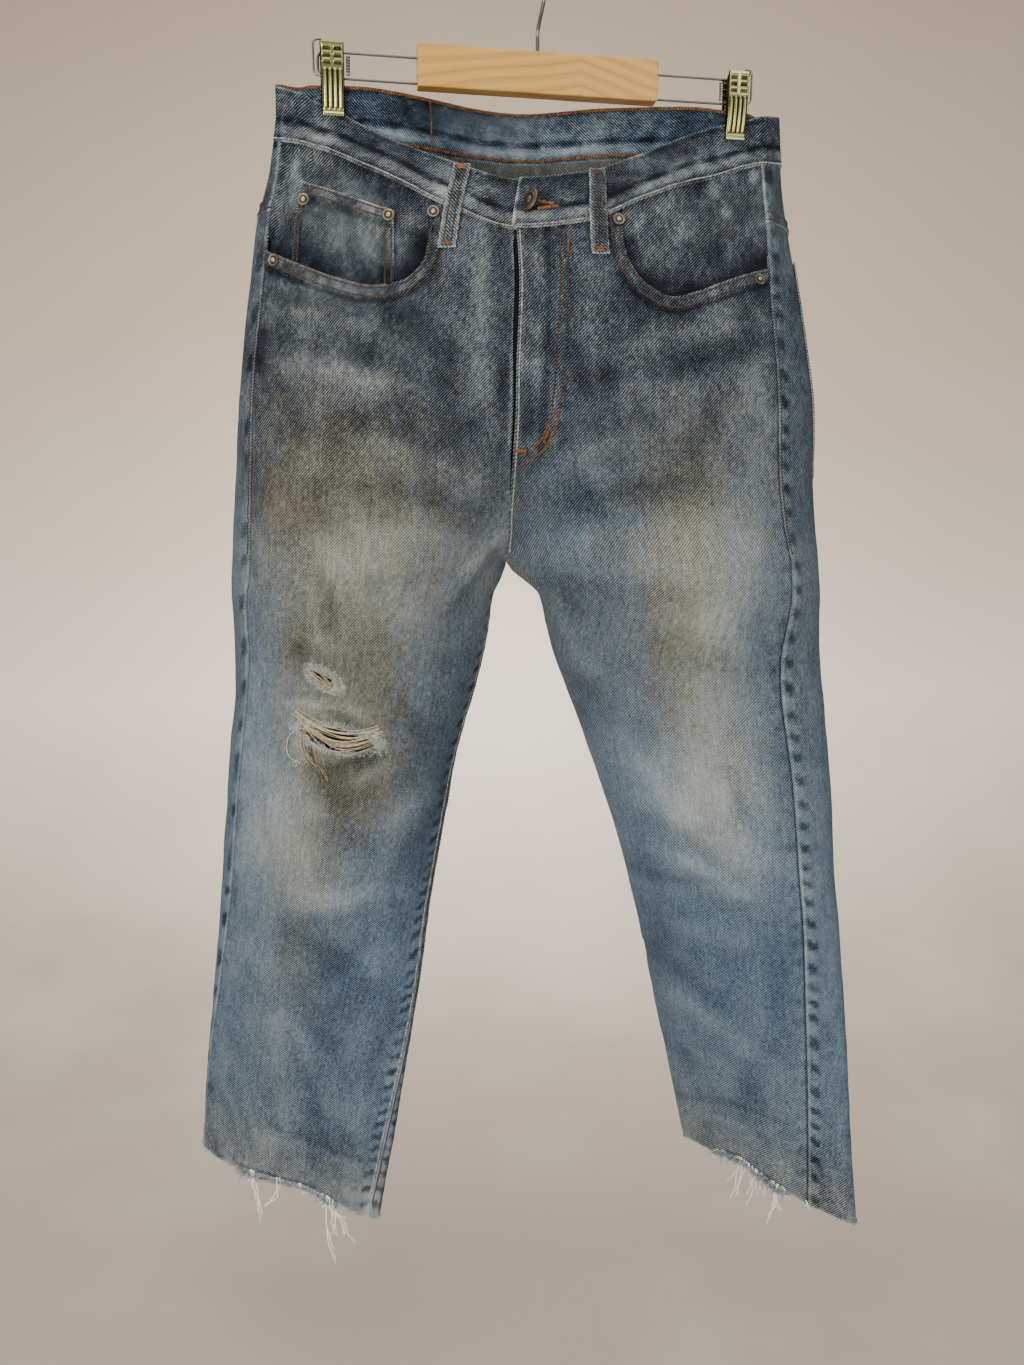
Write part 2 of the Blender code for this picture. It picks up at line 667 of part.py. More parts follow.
def fasteners(copper, brass):
    for name, side, x, z, layer in RIVETS:
        spot_z = np.array([z * MM])
        spot_u = np.array([place_across(x * MM, z * MM, side, True)])
        normal = panel_normal(spot_u, spot_z, side, True)[0]
        lift = DENIM / 2 + GAP * 1.5 + layer * PANEL_OVER
        place = surface(spot_u, spot_z, side, True)[0] + normal * lift
        disc("rivet_" + name, place, normal, RIVET_RADIUS, 1.0 * MM, copper, 0.6 * MM)
    theta, z = np.array([angle_at(BUTTON_X, BUTTON_Z, True)]), np.array([BUTTON_Z])
    normal = body_normal(theta, z)[0]
    place = body_point(theta, z)[0] + normal * (STACK + BAND / 2 + GAP * 1.5)
    disc("waist_button", place, normal, BUTTON_RADIUS, 2.4 * MM, brass, 1.2 * MM)


def cut_rips(panel):
    """Lens-shaped holes through the right leg's front, each cut by a prism along Y."""
    for number, (x, z, length, height, tilt) in enumerate(RIPS):
        angles = np.linspace(0, 2 * math.pi, 20, endpoint=False)
        ring = np.stack([np.cos(angles) * length / 2,
                         np.sin(angles) * np.abs(np.sin(angles))**0.4 * height / 2], 1) * MM
        turn = math.radians(tilt)
        flat = np.stack([ring[:, 0] * math.cos(turn) - ring[:, 1] * math.sin(turn),
                         ring[:, 0] * math.sin(turn) + ring[:, 1] * math.cos(turn)], 1)
        near = [(x * MM + a, -90 * MM, z * MM + b) for a, b in flat]
        far = [(x * MM + a, -5 * MM, z * MM + b) for a, b in flat]
        n = len(flat)
        faces = [tuple(range(n)), tuple(range(2 * n - 1, n - 1, -1))]
        faces += [(k, k + n, (k + 1) % n + n, (k + 1) % n) for k in range(n)]
        cutter = add_object("rip_cutter_%d" % number, near + far, faces, panel.data.materials[0])
        turn_outward(cutter)
        cutter.hide_render = True
        cutter.display_type = "WIRE"
        cut = panel.modifiers.new("rip_%d" % number, "BOOLEAN")
        cut.object = cutter
        cut.operation = "DIFFERENCE"
        cut.solver = "EXACT"


# Loose threads that hang from the raw hems: panel place, width, reach below the hem.
TASSELS = {
    RIGHT: ((0.26, 0.020, 52), (0.42, 0.018, 30), (0.56, 0.016, 12), (0.72, 0.022, 55)),
    LEFT: ((0.60, 0.020, 48), (0.46, 0.018, 32), (0.36, 0.016, 22), (0.24, 0.022, 44)),
}
FRINGE_REACH = 5 * MM
FRINGE_THICK = 0.8 * MM


def hem_fringe(side, cotton):
    """Thin strip of the frayed hem's reach, once round the leg, with tongues of long threads."""
    front = []
    for place, width, _ in TASSELS[side]:
        front += [place - width, place - width / 2, place + width / 2, place + width]
    columns = front_columns(side)
    front = np.unique(np.concatenate([front, columns]))[:-1]
    back = PANEL_COLUMNS[:0:-1]
    u = np.concatenate([front, back])
    is_front = np.arange(len(u)) < len(front)
    front_hem = np.interp(u, columns, hem_edge(columns, side, True))
    back_hem = np.interp(u, PANEL_COLUMNS, hem_edge(PANEL_COLUMNS, side, False))
    hem = np.where(is_front, front_hem, back_hem)
    reach = np.full(u.shape, FRINGE_REACH)
    for place, width, drop in TASSELS[side]:
        near = is_front & (np.abs(u - place) < width * 0.6)
        reach = np.where(near, drop * MM, reach)
    t = np.array([0.0, 0.5, 1.0])[None, :]
    z = hem[:, None] - 2 * GAP - reach[:, None] * t
    u_grid = np.broadcast_to(u[:, None], z.shape)
    in_front = is_front[:, None, None]
    middle = np.where(in_front, surface(u_grid, z, side, True), surface(u_grid, z, side, False))
    middle[..., 2] = z
    normal = np.where(in_front, panel_normal(u_grid, z, side, True),
                      panel_normal(u_grid, z, side, False))
    return ring_wall("hem_fringe_" + SIDE_NAME[side], middle, normal, FRINGE_THICK, cotton)


def ring_wall(name, middle, normal, thickness, finish):
    """Closed wall whose columns go once round."""
    outer = middle + normal * (thickness / 2)
    inner = middle - normal * (thickness / 2)
    columns, rows = middle.shape[:2]
    points = np.concatenate([outer.reshape(-1, 3), inner.reshape(-1, 3)])
    number = np.arange(columns * rows).reshape(columns, rows)
    back = number + columns * rows
    faces = []
    for i in range(columns):
        k = (i + 1) % columns
        for j in range(rows - 1):
            faces.append((number[i, j], number[k, j], number[k, j + 1], number[i, j + 1]))
            faces.append((back[i, j], back[i, j + 1], back[k, j + 1], back[k, j]))
        faces.append((number[i, 0], back[i, 0], back[k, 0], number[k, 0]))
        faces.append((number[i, -1], number[k, -1], back[k, -1], back[i, -1]))
    made = add_object(name, points, faces, finish)
    turn_outward(made)
    return made


# ---------------------------------------------------------------- hanger

BAR_TURN = math.radians(10)
BAR_SIZE = (180 * MM, 13 * MM, 28.5 * MM)
BAR_MIDDLE = (-1.2 * MM, 0.0, -70 * MM)
BAR_EDGE = 1.2 * MM
SHANK_X = -2.2 * MM
HOOK_WIRE = 1.4 * MM        # radius
HOOK_BORE = 14.5 * MM       # radius of the hook's inside
ARM_WIRE = 0.9 * MM         # radius
ARM_UPPER = -64 * MM
ARM_LOWER = -81 * MM
ARM_END = 162 * MM
ARM_DEPTH = 22 * MM         # length of each wire inside the bar
CLIP_WIDTH = 20 * MM
JAW = 1.1 * MM


def tube(name, route, radius, finish, parent, resolution=2):
    """Round wire along a route of points."""
    curve = bpy.data.curves.new(name, "CURVE")
    curve.dimensions = "3D"
    curve.bevel_depth = radius
    curve.bevel_resolution = resolution
    curve.use_fill_caps = True
    line = curve.splines.new("POLY")
    line.points.add(len(route) - 1)
    for point, place in zip(line.points, route):
        point.co = (*place, 1)
    curve.materials.append(finish)
    made = bpy.data.objects.new(name, curve)
    bpy.context.scene.collection.objects.link(made)
    made.parent = parent
    return made


def arc(centre, radius, start, stop, count, plane="yz"):
    """Points on an arc, angles in degrees from the plane's first axis towards its second."""
    angles = np.radians(np.linspace(start, stop, count))
    a, b = radius * np.cos(angles), radius * np.sin(angles)
    if plane == "yz":
        return [(centre[0], centre[1] + p, centre[2] + q) for p, q in zip(a, b)]
    return [(centre[0] + p, centre[1], centre[2] + q) for p, q in zip(a, b)]


def box(name, low, high, finish, parent, edge=0.0):
    """Box between two corners, with rounded edges made by a Bevel modifier."""
    work = bmesh.new()
    bmesh.ops.create_cube(work, size=1)
    size = [h - l for l, h in zip(low, high)]
    middle = [(h + l) / 2 for l, h in zip(low, high)]
    for vert in work.verts:
        vert.co = Vector([m + c * s for m, c, s in zip(middle, vert.co, size)])
    mesh = bpy.data.meshes.new(name)
    work.to_mesh(mesh)
    work.free()
    made = bpy.data.objects.new(name, mesh)
    bpy.context.scene.collection.objects.link(made)
    mesh.materials.append(finish)
    made.parent = parent
    if edge:
        bevel = made.modifiers.new("edges", "BEVEL")
        bevel.width = edge
        bevel.segments = 3
    return made


def drill(target, route_start, route_end, radius, number):
    """Cut a round hole between two points."""
    start, end = Vector(route_start), Vector(route_end)
    work = bmesh.new()
    bmesh.ops.create_cone(work, cap_ends=True, segments=16, radius1=radius, radius2=radius,
                          depth=(end - start).length)
    turn = (end - start).to_track_quat("Z", "Y").to_matrix().to_4x4()
    bmesh.ops.transform(work, verts=work.verts,
                        matrix=Matrix.Translation((start + end) / 2) @ turn)
    mesh = bpy.data.meshes.new(target.name + "_drill_%d" % number)
    work.to_mesh(mesh)
    work.free()
    cutter = bpy.data.objects.new(mesh.name, mesh)
    bpy.context.scene.collection.objects.link(cutter)
    cutter.parent = target.parent
    cutter.hide_render = True
    cutter.display_type = "WIRE"
    cut = target.modifiers.new("drill_%d" % number, "BOOLEAN")
    cut.object = cutter
    cut.operation = "DIFFERENCE"
    cut.solver = "EXACT"


def hanger(wood, steel, plate):
    frame = bpy.data.objects.new("hanger_turn", None)
    bpy.context.scene.collection.objects.link(frame)
    frame.rotation_euler = (0, 0, BAR_TURN)
    low = [m - s / 2 for m, s in zip(BAR_MIDDLE, BAR_SIZE)]
    high = [m + s / 2 for m, s in zip(BAR_MIDDLE, BAR_SIZE)]
    bar = box("hanger_bar", low, high, wood, frame, BAR_EDGE)
    drill(bar, (SHANK_X, 0, -75 * MM), (SHANK_X, 0, high[2] + 5 * MM), HOOK_WIRE + GAP, 0)
    for side in (RIGHT, LEFT):
        end = low[0] if side == RIGHT else high[0]
        for k, z in enumerate((ARM_UPPER, ARM_LOWER)):
            drill(bar, (end - side * (ARM_DEPTH + MM), 0, z), (end + side * 5 * MM, 0, z),
                  ARM_WIRE + GAP, 1 + k + (side + 1))
        arm_wire(side, end - side * ARM_DEPTH, steel, frame)
        clip(side, plate, steel, frame)
    centre = (0.0, 0.0, -HOOK_BORE)
    radius = HOOK_BORE + HOOK_WIRE
    bend = [(SHANK_X, 0, -74 * MM), (SHANK_X, 0, -60 * MM), (SHANK_X, 0, -44 * MM),
            (SHANK_X, -0.8 * MM, -40 * MM), (-1.8 * MM, -3.4 * MM, -36.5 * MM),
            (-1.0 * MM, -8.5 * MM, -31 * MM), (-0.3 * MM, -12.6 * MM, -25.6 * MM)]
    ring = arc(centre, radius, 201, 8, 24)
    tube("hanger_hook", bend + ring, HOOK_WIRE, steel, frame)


def arm_wire(side, start, steel, frame):
    """One wire bent into a long U: out from the bar, round the end and back into the bar."""
    bend = 5 * MM
    x = side * ARM_END
    upper = [(start, 0, ARM_UPPER), (side * 120 * MM, 0, ARM_UPPER)]
    lower = [(side * 120 * MM, 0, ARM_LOWER), (start, 0, ARM_LOWER)]
    corner_x = x - side * bend
    top = arc((corner_x, 0, ARM_UPPER - bend), bend, 90, 0, 5, "xz")
    foot = arc((corner_x, 0, ARM_LOWER + bend), bend, 0, -90, 5, "xz")
    corner = [(corner_x + side * (px - corner_x), py, pz) for px, py, pz in top + foot]
    tube("hanger_wire_" + SIDE_NAME[side], upper + corner + lower, ARM_WIRE, steel, frame)


JAW_PROFILE = (             # height, distance of the jaw's inner face from the cloth's middle
    (-107, 3.2),
    (-104, 3.2),
    (-96, 5.2),
    (-84, 6.6),
    (-70, 6.9),
    (-57, 8.6),
)


def clip(side, plate, steel, frame):
    """Two sprung jaws on a block that the arm's wires pass through."""
    x = side * CLIP_X
    for facing_name, way in (("front", -1), ("back", 1)):
        rows = np.array(JAW_PROFILE) * MM
        across = np.linspace(-CLIP_WIDTH / 2, CLIP_WIDTH / 2, 2)
        z = np.broadcast_to(rows[None, :, 0], (2, len(rows)))
        y = way * (rows[None, :, 1] + JAW / 2) + np.zeros((2, 1))
        grid = np.stack([x + np.broadcast_to(across[:, None], z.shape), y, z], -1)
        normal = np.zeros_like(grid)
        normal[..., 1] = way
        made = wall("clip_%s_%s" % (SIDE_NAME[side], facing_name), grid, normal, JAW, plate)
        made.parent = frame
    block = box("clip_%s_block" % SIDE_NAME[side], (x - 4.6 * MM, -6.2 * MM, -84.6 * MM),
                (x + 4.6 * MM, 6.2 * MM, -60 * MM), plate, frame)
    for k, z in enumerate((ARM_UPPER, ARM_LOWER)):
        drill(block, (x - 12 * MM, 0, z), (x + 12 * MM, 0, z), ARM_WIRE + GAP, k)


# ---------------------------------------------------------------- build


def build():
    for old in list(bpy.data.objects):
        bpy.data.objects.remove(old, do_unlink=True)
    denim = material("denim_outer", (0.24, 0.31, 0.38))
    band = material("denim_band", (0.30, 0.36, 0.42))
    dark = material("denim_facing", (0.20, 0.24, 0.28))
    cotton = material("cotton_fringe", (0.78, 0.78, 0.75))
    copper = material("rivet_copper", (0.55, 0.42, 0.32), 0.45, 0.9)
    brass = material("button_metal", (0.36, 0.27, 0.20), 0.5, 0.85)
    wood = material("pine", (0.80, 0.61, 0.37), 0.5)
    steel = material("steel_wire", (0.62, 0.62, 0.62), 0.25, 1.0)
    plate = material("clip_plate", (0.62, 0.58, 0.36), 0.22, 1.0)
    for side in (RIGHT, LEFT):
        front = front_panel(side, denim)
        if side == RIGHT:
            cut_rips(front)
        back_panel(side, denim)
        yoke(side, denim)
        pocket_facing(side, dark)
        back_pocket(side, denim)
        hem_fringe(side, cotton)
    coin_pocket(dark)
    fly_underlay(dark)
    waistband(band)
    for row in LOOPS:
        belt_loop(row, band)
    fasteners(copper, brass)
    hanger(wood, steel, plate)


build()
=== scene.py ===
"""Ripped straight-leg jeans on a wooden clip hanger, as dressed pieces around their fixed frame.

Every cloth piece is a grid of points on one surface, worked out from the cross-sections of the
body (HIP) and of each leg (LEG), pushed out and in by a table of folds, and closed to
a thin wall. Lengths in the tables are millimetres and turns are degrees; the rest is metres.
"""

import math

import bpy
import numpy as np
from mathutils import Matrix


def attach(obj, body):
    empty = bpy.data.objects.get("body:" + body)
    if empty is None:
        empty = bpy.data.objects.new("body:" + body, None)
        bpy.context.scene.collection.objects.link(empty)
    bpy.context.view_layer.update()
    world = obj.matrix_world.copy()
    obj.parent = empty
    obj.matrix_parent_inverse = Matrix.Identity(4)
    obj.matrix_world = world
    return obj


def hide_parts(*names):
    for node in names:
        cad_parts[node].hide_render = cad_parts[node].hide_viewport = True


bl_info = {
    "name": "Ripped Jeans On Clip Hanger",
    "version": (1, 0, 0),
    "blender": (4, 5, 0),
    "location": "3D View > Sidebar > Jeans",
    "description": "Builds worn denim jeans, their stitching and their clip hanger",
    "category": "Add Mesh",
}

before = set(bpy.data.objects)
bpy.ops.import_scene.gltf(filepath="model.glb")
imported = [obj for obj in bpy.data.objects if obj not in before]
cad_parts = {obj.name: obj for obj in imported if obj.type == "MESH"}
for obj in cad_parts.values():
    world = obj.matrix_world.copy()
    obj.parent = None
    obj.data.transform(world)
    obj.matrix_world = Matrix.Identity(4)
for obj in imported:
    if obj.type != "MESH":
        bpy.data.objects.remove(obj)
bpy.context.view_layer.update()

MM = 0.001
RIGHT, LEFT = -1, 1         # the wearer's right is on the -X side
SIDE_NAME = {RIGHT: "right", LEFT: "left"}

# ---- the garment's own sizes

BLEND_TOP = -300 * MM
CROTCH_Z = -430 * MM
CROTCH_Y = 6 * MM
FORK_DEPTHS = (66, 70)
CLEFT = 2.3 * MM
CLIP_X = 152 * MM
FLAT_FROM, FLAT_TO = 139 * MM, 166 * MM
PINCH_HALF = 1.55 * MM
END_LOOP = 4.5 * MM
LAYER = 1.8 * MM            # from one layer's middle to the next layer's middle
BAND_HEIGHT = 37.5 * MM

HIP_COLUMNS = ("z", "mid", "half", "y", "front", "back", "turn", "seam_right", "seam_left",
               "cf", "cb", "pinch")
HIP = (
    (-80, -2, 189, -0.3, 24, 56, -10, 10, 25, -21, 11, 1.0),
    (-113, -1, 191, -0.3, 28, 58, -10, 11, 25, -21, 11, 1.0),
    (-140, -3, 194, 0, 34, 61, -9, 14, 26, -19, 10, 0.4),
    (-180, -8, 202, 0, 47, 66, -6, 18, 28, -15, 7, 0.0),
    (-230, -10, 211, 0, 62, 71, -3, 21, 31, -9, 2, 0.0),
    (-300, -11, 222, 0, 73, 76, 0, 22, 32, -7, -4, 0.0),
    (-370, -11, 230, 2, 72, 78, 0, 24, 33, -11, -10, 0.0),
    (-430, -10, 236, 4, 66, 74, 0, 25, 30, -15, -15, 0.0),
)
LEG_COLUMNS = ("z", "mid", "y", "half", "front", "back", "turn", "out", "in")
LEG = {
    RIGHT: (
        (-455, -142, 4, 106, 64, 68, 3, 37, 0),
        (-500, -147, 4, 103, 60, 64, 8, 40, 2),
        (-600, -167, 6, 98, 52, 56, 14, 42, 2),
        (-700, -183, 8, 98, 40, 44, 19, 40, 3),
        (-800, -198, 10, 102, 28, 32, 23, 32, 6),
        (-900, -215, 12, 104, 17, 21, 26, 21, 15),
        (-1005, -230, 13, 104, 12, 16, 29, 14, 24),
    ),
    LEFT: (
        (-455, 114, 4, 113, 64, 68, 3, 43, 0),
        (-500, 120, 4, 108, 60, 66, 12, 45, 0),
        (-600, 143, 6, 100, 50, 54, 24, 40, -4),
        (-700, 163, 8, 94, 41, 45, 33, 37, -8),
        (-800, 181, 10, 93, 31, 34, 38, 42, -14),
        (-900, 196, 11, 93, 23, 26, 44, 46, -22),
        (-1005, 213, 12, 94, 18, 23, 50, 53, -30),
    ),
}
# The front waistband's droop: x, top edge, lower seam.
FRONT_EDGE = (
    (-191, -88, -125), (-150, -102, -133), (-115, -118, -149), (-67, -138, -173),
    (-17, -151, -188), (34, -143, -181), (75, -125, -162), (107, -108, -148),
    (131, -99, -138), (170, -90, -126), (191, -87, -124),
)
# Back waistband's top edge: across, height
BACK_EDGE = ((-190, -87), (-110, -84), (30, -77), (110, -83), (190, -88))
YOKE_SIDE, YOKE_MIDDLE = 46 * MM, 76 * MM
FRONT_WIDE, COIN_WIDE, BACK_WIDE = 245, 240, 235        # usual width of a panel, in mm
# Front pocket mouths: place across the panel (0 outseam, 1 centre), height.
POCKET_EDGE = {
    RIGHT: ((0.0, -199), (0.08, -202), (0.28, -213), (0.41, -221), (0.55, -227), (0.65, -224),
            (0.695, -216), (0.725, -203), (0.735, -170)),
    LEFT: ((0.0, -208), (0.11, -212), (0.27, -221), (0.40, -230), (0.49, -234), (0.57, -227),
           (0.63, -214), (0.66, -197), (0.67, -170)),
}
HEM = {
    (RIGHT, True): ((0, -995), (0.2, -998), (0.35, -995), (0.5, -990), (0.65, -987), (0.8, -992),
                    (1, -998)),
    (RIGHT, False): ((0, -995), (0.15, -991), (0.5, -996), (1, -998)),
    (LEFT, True): ((0, -981), (0.2, -976), (0.28, -971), (0.35, -974), (0.44, -983), (0.6, -991),
                   (0.7, -998), (0.8, -1001), (1, -1002)),
    (LEFT, False): ((0, -981), (0.1, -983), (0.3, -988), (0.6, -990), (0.8, -994), (1, -1002)),
}

# ---- settings a user may change


def srgb(red, green, blue):
    """Screen values 0 to 255 as the linear colour that a shader takes."""
    c = np.array([red, green, blue]) / 255
    return tuple(float(v) for v in np.where(c <= 0.04045, c / 12.92, ((c + 0.055) / 1.055)**2.4))


def colour(name, description, value):
    return bpy.props.FloatVectorProperty(name=name, description=description, subtype="COLOR",
                                         size=3, min=0, max=1, default=srgb(*value))


def length(name, description, millimetres):
    return bpy.props.FloatProperty(name=name, description=description, unit="LENGTH",
                                   subtype="DISTANCE", min=0, precision=5,
                                   default=millimetres * MM)


class JeansSizes(bpy.types.PropertyGroup):
    """Sizes of the cloth and its sewing."""
    denim: length("Denim", "Thickness of one layer of denim", 1.2)
    band: length("Waistband", "Thickness of the waistband's layers together", 2.4)
    grid: length("Grid", "Spacing of the cloth's points", 3.1)
    twill: length("Twill pitch", "Distance between twill lines across the cloth", 2.3)
    stitch: length("Stitch", "Length of one stitch", 2.8)
    pitch: length("Stitch pitch", "Distance from one stitch to the next", 2.9)
    thread: length("Thread", "Width of the sewing thread", 1.4)
    fuzz: length("Hem fuzz", "Longest yarn of the raw hem's short fringe", 8.0)


class JeansColours(bpy.types.PropertyGroup):
    """Colours of the cloth, threads and hanger."""
    indigo: colour("Indigo", "Least faded cloth", (34, 40, 51))
    faded: colour("Faded", "Half faded cloth", (76, 97, 117))
    bare: colour("Bare", "Cloth worn down to its white yarns", (166, 174, 170))
    soil: colour("Soil", "Olive-brown dirt rubbed into the cloth", (92, 90, 76))
    rust: colour("Rust", "Orange-brown stain", (102, 80, 54))
    tan: colour("Tan thread", "Faded topstitching", (76, 52, 34))
    orange: colour("Orange thread", "Topstitching that kept its colour", (146, 90, 36))
    cotton: colour("Cotton", "Undyed cotton yarn", (246, 240, 226))
    pine: colour("Pine", "Lacquered wood of the hanger", (200, 152, 76))
    copper: colour("Copper", "Plating of the button and rivets", (126, 112, 94))
    plate: colour("Plate", "Yellow passivated plate of the clips", (206, 204, 140))


# ---- smooth curves and sections


def smooth(x, xs, ys):
    """Cubic through the points (xs, ys) that never overshoots; ys may have several columns."""
    x = np.asarray(x, float)
    xs = np.asarray(xs, float)
    ys = np.asarray(ys, float)
    ys = ys.reshape(len(xs), -1)
    step = np.diff(xs)[:, None]
    slope = np.diff(ys, axis=0) / step
    tangent = np.zeros_like(ys)
    tangent[0], tangent[-1] = slope[0], slope[-1]
    before, after = slope[:-1], slope[1:]
    same_way = before * after > 0
    w_before = 2 * step[1:] + step[:-1]
    w_after = step[1:] + 2 * step[:-1]
    mean = (w_before + w_after) / (w_before / np.where(same_way, before, 1)
                                   + w_after / np.where(same_way, after, 1))
    tangent[1:-1] = np.where(same_way, mean, 0)
    i = np.clip(np.searchsorted(xs, x, side="right") - 1, 0, len(xs) - 2)
    t = np.clip((x - xs[i]) / step[i, 0], 0, 1)[..., None]
    h = step[i]
    value = ((2 * t**3 - 3 * t**2 + 1) * ys[i] + (t**3 - 2 * t**2 + t) * h * tangent[i]
             + (3 * t**2 - 2 * t**3) * ys[i + 1] + (t**3 - t**2) * h * tangent[i + 1])
    return value[..., 0] if value.shape[-1] == 1 else value


def curve(x, rows):
    """smooth() through a table: its first column against the others."""
    table = np.array(rows, float)
    return smooth(x, table[:, 0], table[:, 1:])


def read_table(rows, columns, lengths):
    data = np.array(sorted(rows), float)
    return {name: data[:, k] * (MM if name in lengths else 1) for k, name in enumerate(columns)}


LENGTHS = ("z", "mid", "half", "y", "front", "back", "cf", "cb")
HIP_TABLE = read_table(HIP, HIP_COLUMNS, LENGTHS)


def section_at(table, z):
    """Every column of a section table at the heights z."""
    names = [name for name in table if name != "z"]
    values = smooth(z, table["z"], np.stack([table[name] for name in names], 1))
    return {name: values[..., k] for k, name in enumerate(names)}


def leg_table(side):
    """The leg's table, with rows added above the crotch where the leg is half of the body."""
    rows = []
    for z in (-80, -200, -300, -360, -400, CROTCH_Z / MM):
        hip = section_at(HIP_TABLE, np.array([z * MM]))
        centre = (hip["mid"] + hip["cf"])[0]
        fold = (hip["mid"] + side * hip["half"])[0]
        half = abs(fold - centre) / 2
        seam = hip["seam_" + SIDE_NAME[side]][0]
        inset = hip["half"][0] * (1 - math.cos(math.radians(seam)))
        out = math.degrees(math.acos(1 - inset / half))
        rows.append((z, (centre + fold) / 2 / MM, CROTCH_Y / MM, half / MM) + FORK_DEPTHS
                    + (0, out, 0))
    return read_table(tuple(rows) + LEG[side], LEG_COLUMNS, LENGTHS)


LEG_TABLE = {side: leg_table(side) for side in (RIGHT, LEFT)}


def turned(mid, y, across, forward, turn):
    """x and y of a section's point, with the section turned about its middle."""
    angle = np.radians(turn)
    return (mid + across * np.cos(angle) - forward * np.sin(angle),
            y - across * np.sin(angle) - forward * np.cos(angle))


def body_xy(theta, z):
    """The body's section, an ellipse with its own front and back depth, pinched flat at the
    clips: theta 0 at the left fold, 90 in front, 180 at the right fold."""
    hip = section_at(HIP_TABLE, z)
    angle = np.radians(theta)
    across = hip["half"] * np.cos(angle)
    lift = np.sin(angle)
    depth = np.where(lift > 0, hip["front"], hip["back"])
    inside = np.clip(np.abs(across) / FLAT_FROM, 0, 1)
    beyond = np.clip((np.abs(across) - FLAT_TO) / (hip["half"] - FLAT_TO), 0, 1)
    pinched = (PINCH_HALF + (depth - PINCH_HALF) * np.cos(np.pi / 2 * inside)**2
               + END_LOOP * np.sin(np.pi * beyond**0.7)**1.5)
    pinched = pinched * np.sqrt(np.clip(1 - beyond**6, 0, 1)) * np.sign(lift)
    forward = depth * lift * (1 - hip["pinch"]) + pinched * hip["pinch"]
    return turned(hip["mid"], hip["y"], across, forward, hip["turn"])


def centre_angle(z, side, front):
    """Section angle of the centre front or back, where the two sides' panels meet."""
    hip = section_at(HIP_TABLE, z)
    offset = hip["cf"] if front else hip["cb"]
    angle = np.degrees(np.arccos(side * offset / hip["half"]))
    return angle if front else -angle


def panel_angle(u, z, side, front):
    """The body's section angle at a place u of a panel."""
    seam = section_at(HIP_TABLE, z)["seam_" + SIDE_NAME[side]]
    theta = seam + (centre_angle(z, side, front) - seam) * u
    return theta if side == LEFT else 180 - theta


def surface(u, z, side, front):
    """A panel's middle surface: the body's section above, the leg's below, and between them a
    blend that turns quickly into an arch near the crotch. u runs from outseam to centre."""
    u, z = np.broadcast_arrays(np.asarray(u, float), np.asarray(z, float))
    hip_x, hip_y = body_xy(panel_angle(u, z, side, front), z)
    leg = section_at(LEG_TABLE[side], z)
    end = (180 if front else -180) - leg["in"]
    angle = np.radians(leg["out"] + (end - leg["out"]) * u)
    across = side * leg["half"] * np.cos(angle)
    forward = np.where(np.sin(angle) > 0, leg["front"], leg["back"]) * np.sin(angle)
    leg_x, leg_y = turned(leg["mid"], leg["y"], across, forward, leg["turn"])
    t = np.clip((BLEND_TOP - z) / (BLEND_TOP - CROTCH_Z), 0, 1)
    arch = 1 - np.sqrt(1 - t * t)
    even = t * t * (3 - 2 * t)
    part = even + (arch - even) * u**6
    below = z < CROTCH_Z + 0.1 * MM
    fade = np.clip(1 - (CROTCH_Z - z) / (50 * MM), 0, 1) * np.clip(2 * u - 1, 0, 1)
    apart = np.where(below, 1, np.clip((1 - u) / 0.035, 0, 1) * np.clip(arch * 2.5, 0, 1))
    x = hip_x + (leg_x - hip_x) * part + side * CLEFT * apart * fade
    return np.stack([x, hip_y + (leg_y - hip_y) * part, z], -1)


def bell(x, half, middle=0, power=2):
    """1 at the middle, and down to 1/e a half-width away on either side."""
    return np.exp(-((x - middle) / half)**power)


def unit(v):
    return v / np.maximum(np.linalg.norm(v, axis=-1, keepdims=True), 1e-9)


STEP_U = 0.004
STEP_Z = 0.8 * MM


def own_normal(u, z, side, front):
    """Outward normal of one panel's surface, from steps across it and up it."""
    u0, u1 = np.clip(u - STEP_U, 0, 1), np.clip(u + STEP_U, 0, 1)
    across = surface(u1, z, side, front) - surface(u0, z, side, front)
    up = surface(u, z + STEP_Z, side, front) - surface(u, z - STEP_Z, side, front)
    return unit(np.cross(across, up)) * (-side if front else side)


def panel_normal(u, z, side, front):
    """Outward normal, shared along the seams by the panels that meet there."""
    n = own_normal(u, z, side, front)
    at_side = (u < 1e-6)[..., None]
    n = np.where(at_side, unit(n + own_normal(u, z, side, not front)), n)
    at_end = (u > 1 - 1e-6)[..., None]
    above = (z > CROTCH_Z + 0.1 * MM)[..., None]
    n = np.where(at_end & above, unit(n + own_normal(u, z, -side, front)), n)
    return np.where(at_end & ~above, unit(n + own_normal(u, z, side, not front)), n)


def body_point(theta, z):
    """Points of the body's section."""
    x, y = body_xy(theta, z)
    return np.stack([x, y, np.broadcast_to(z, x.shape)], -1)


def body_normal(theta, z):
    """Outward normal of the body's section, from steps round it and up it."""
    across = body_point(theta + 0.6, z) - body_point(theta - 0.6, z)
    up = body_point(theta, z + STEP_Z) - body_point(theta, z - STEP_Z)
    return unit(np.cross(across, up)) * -1


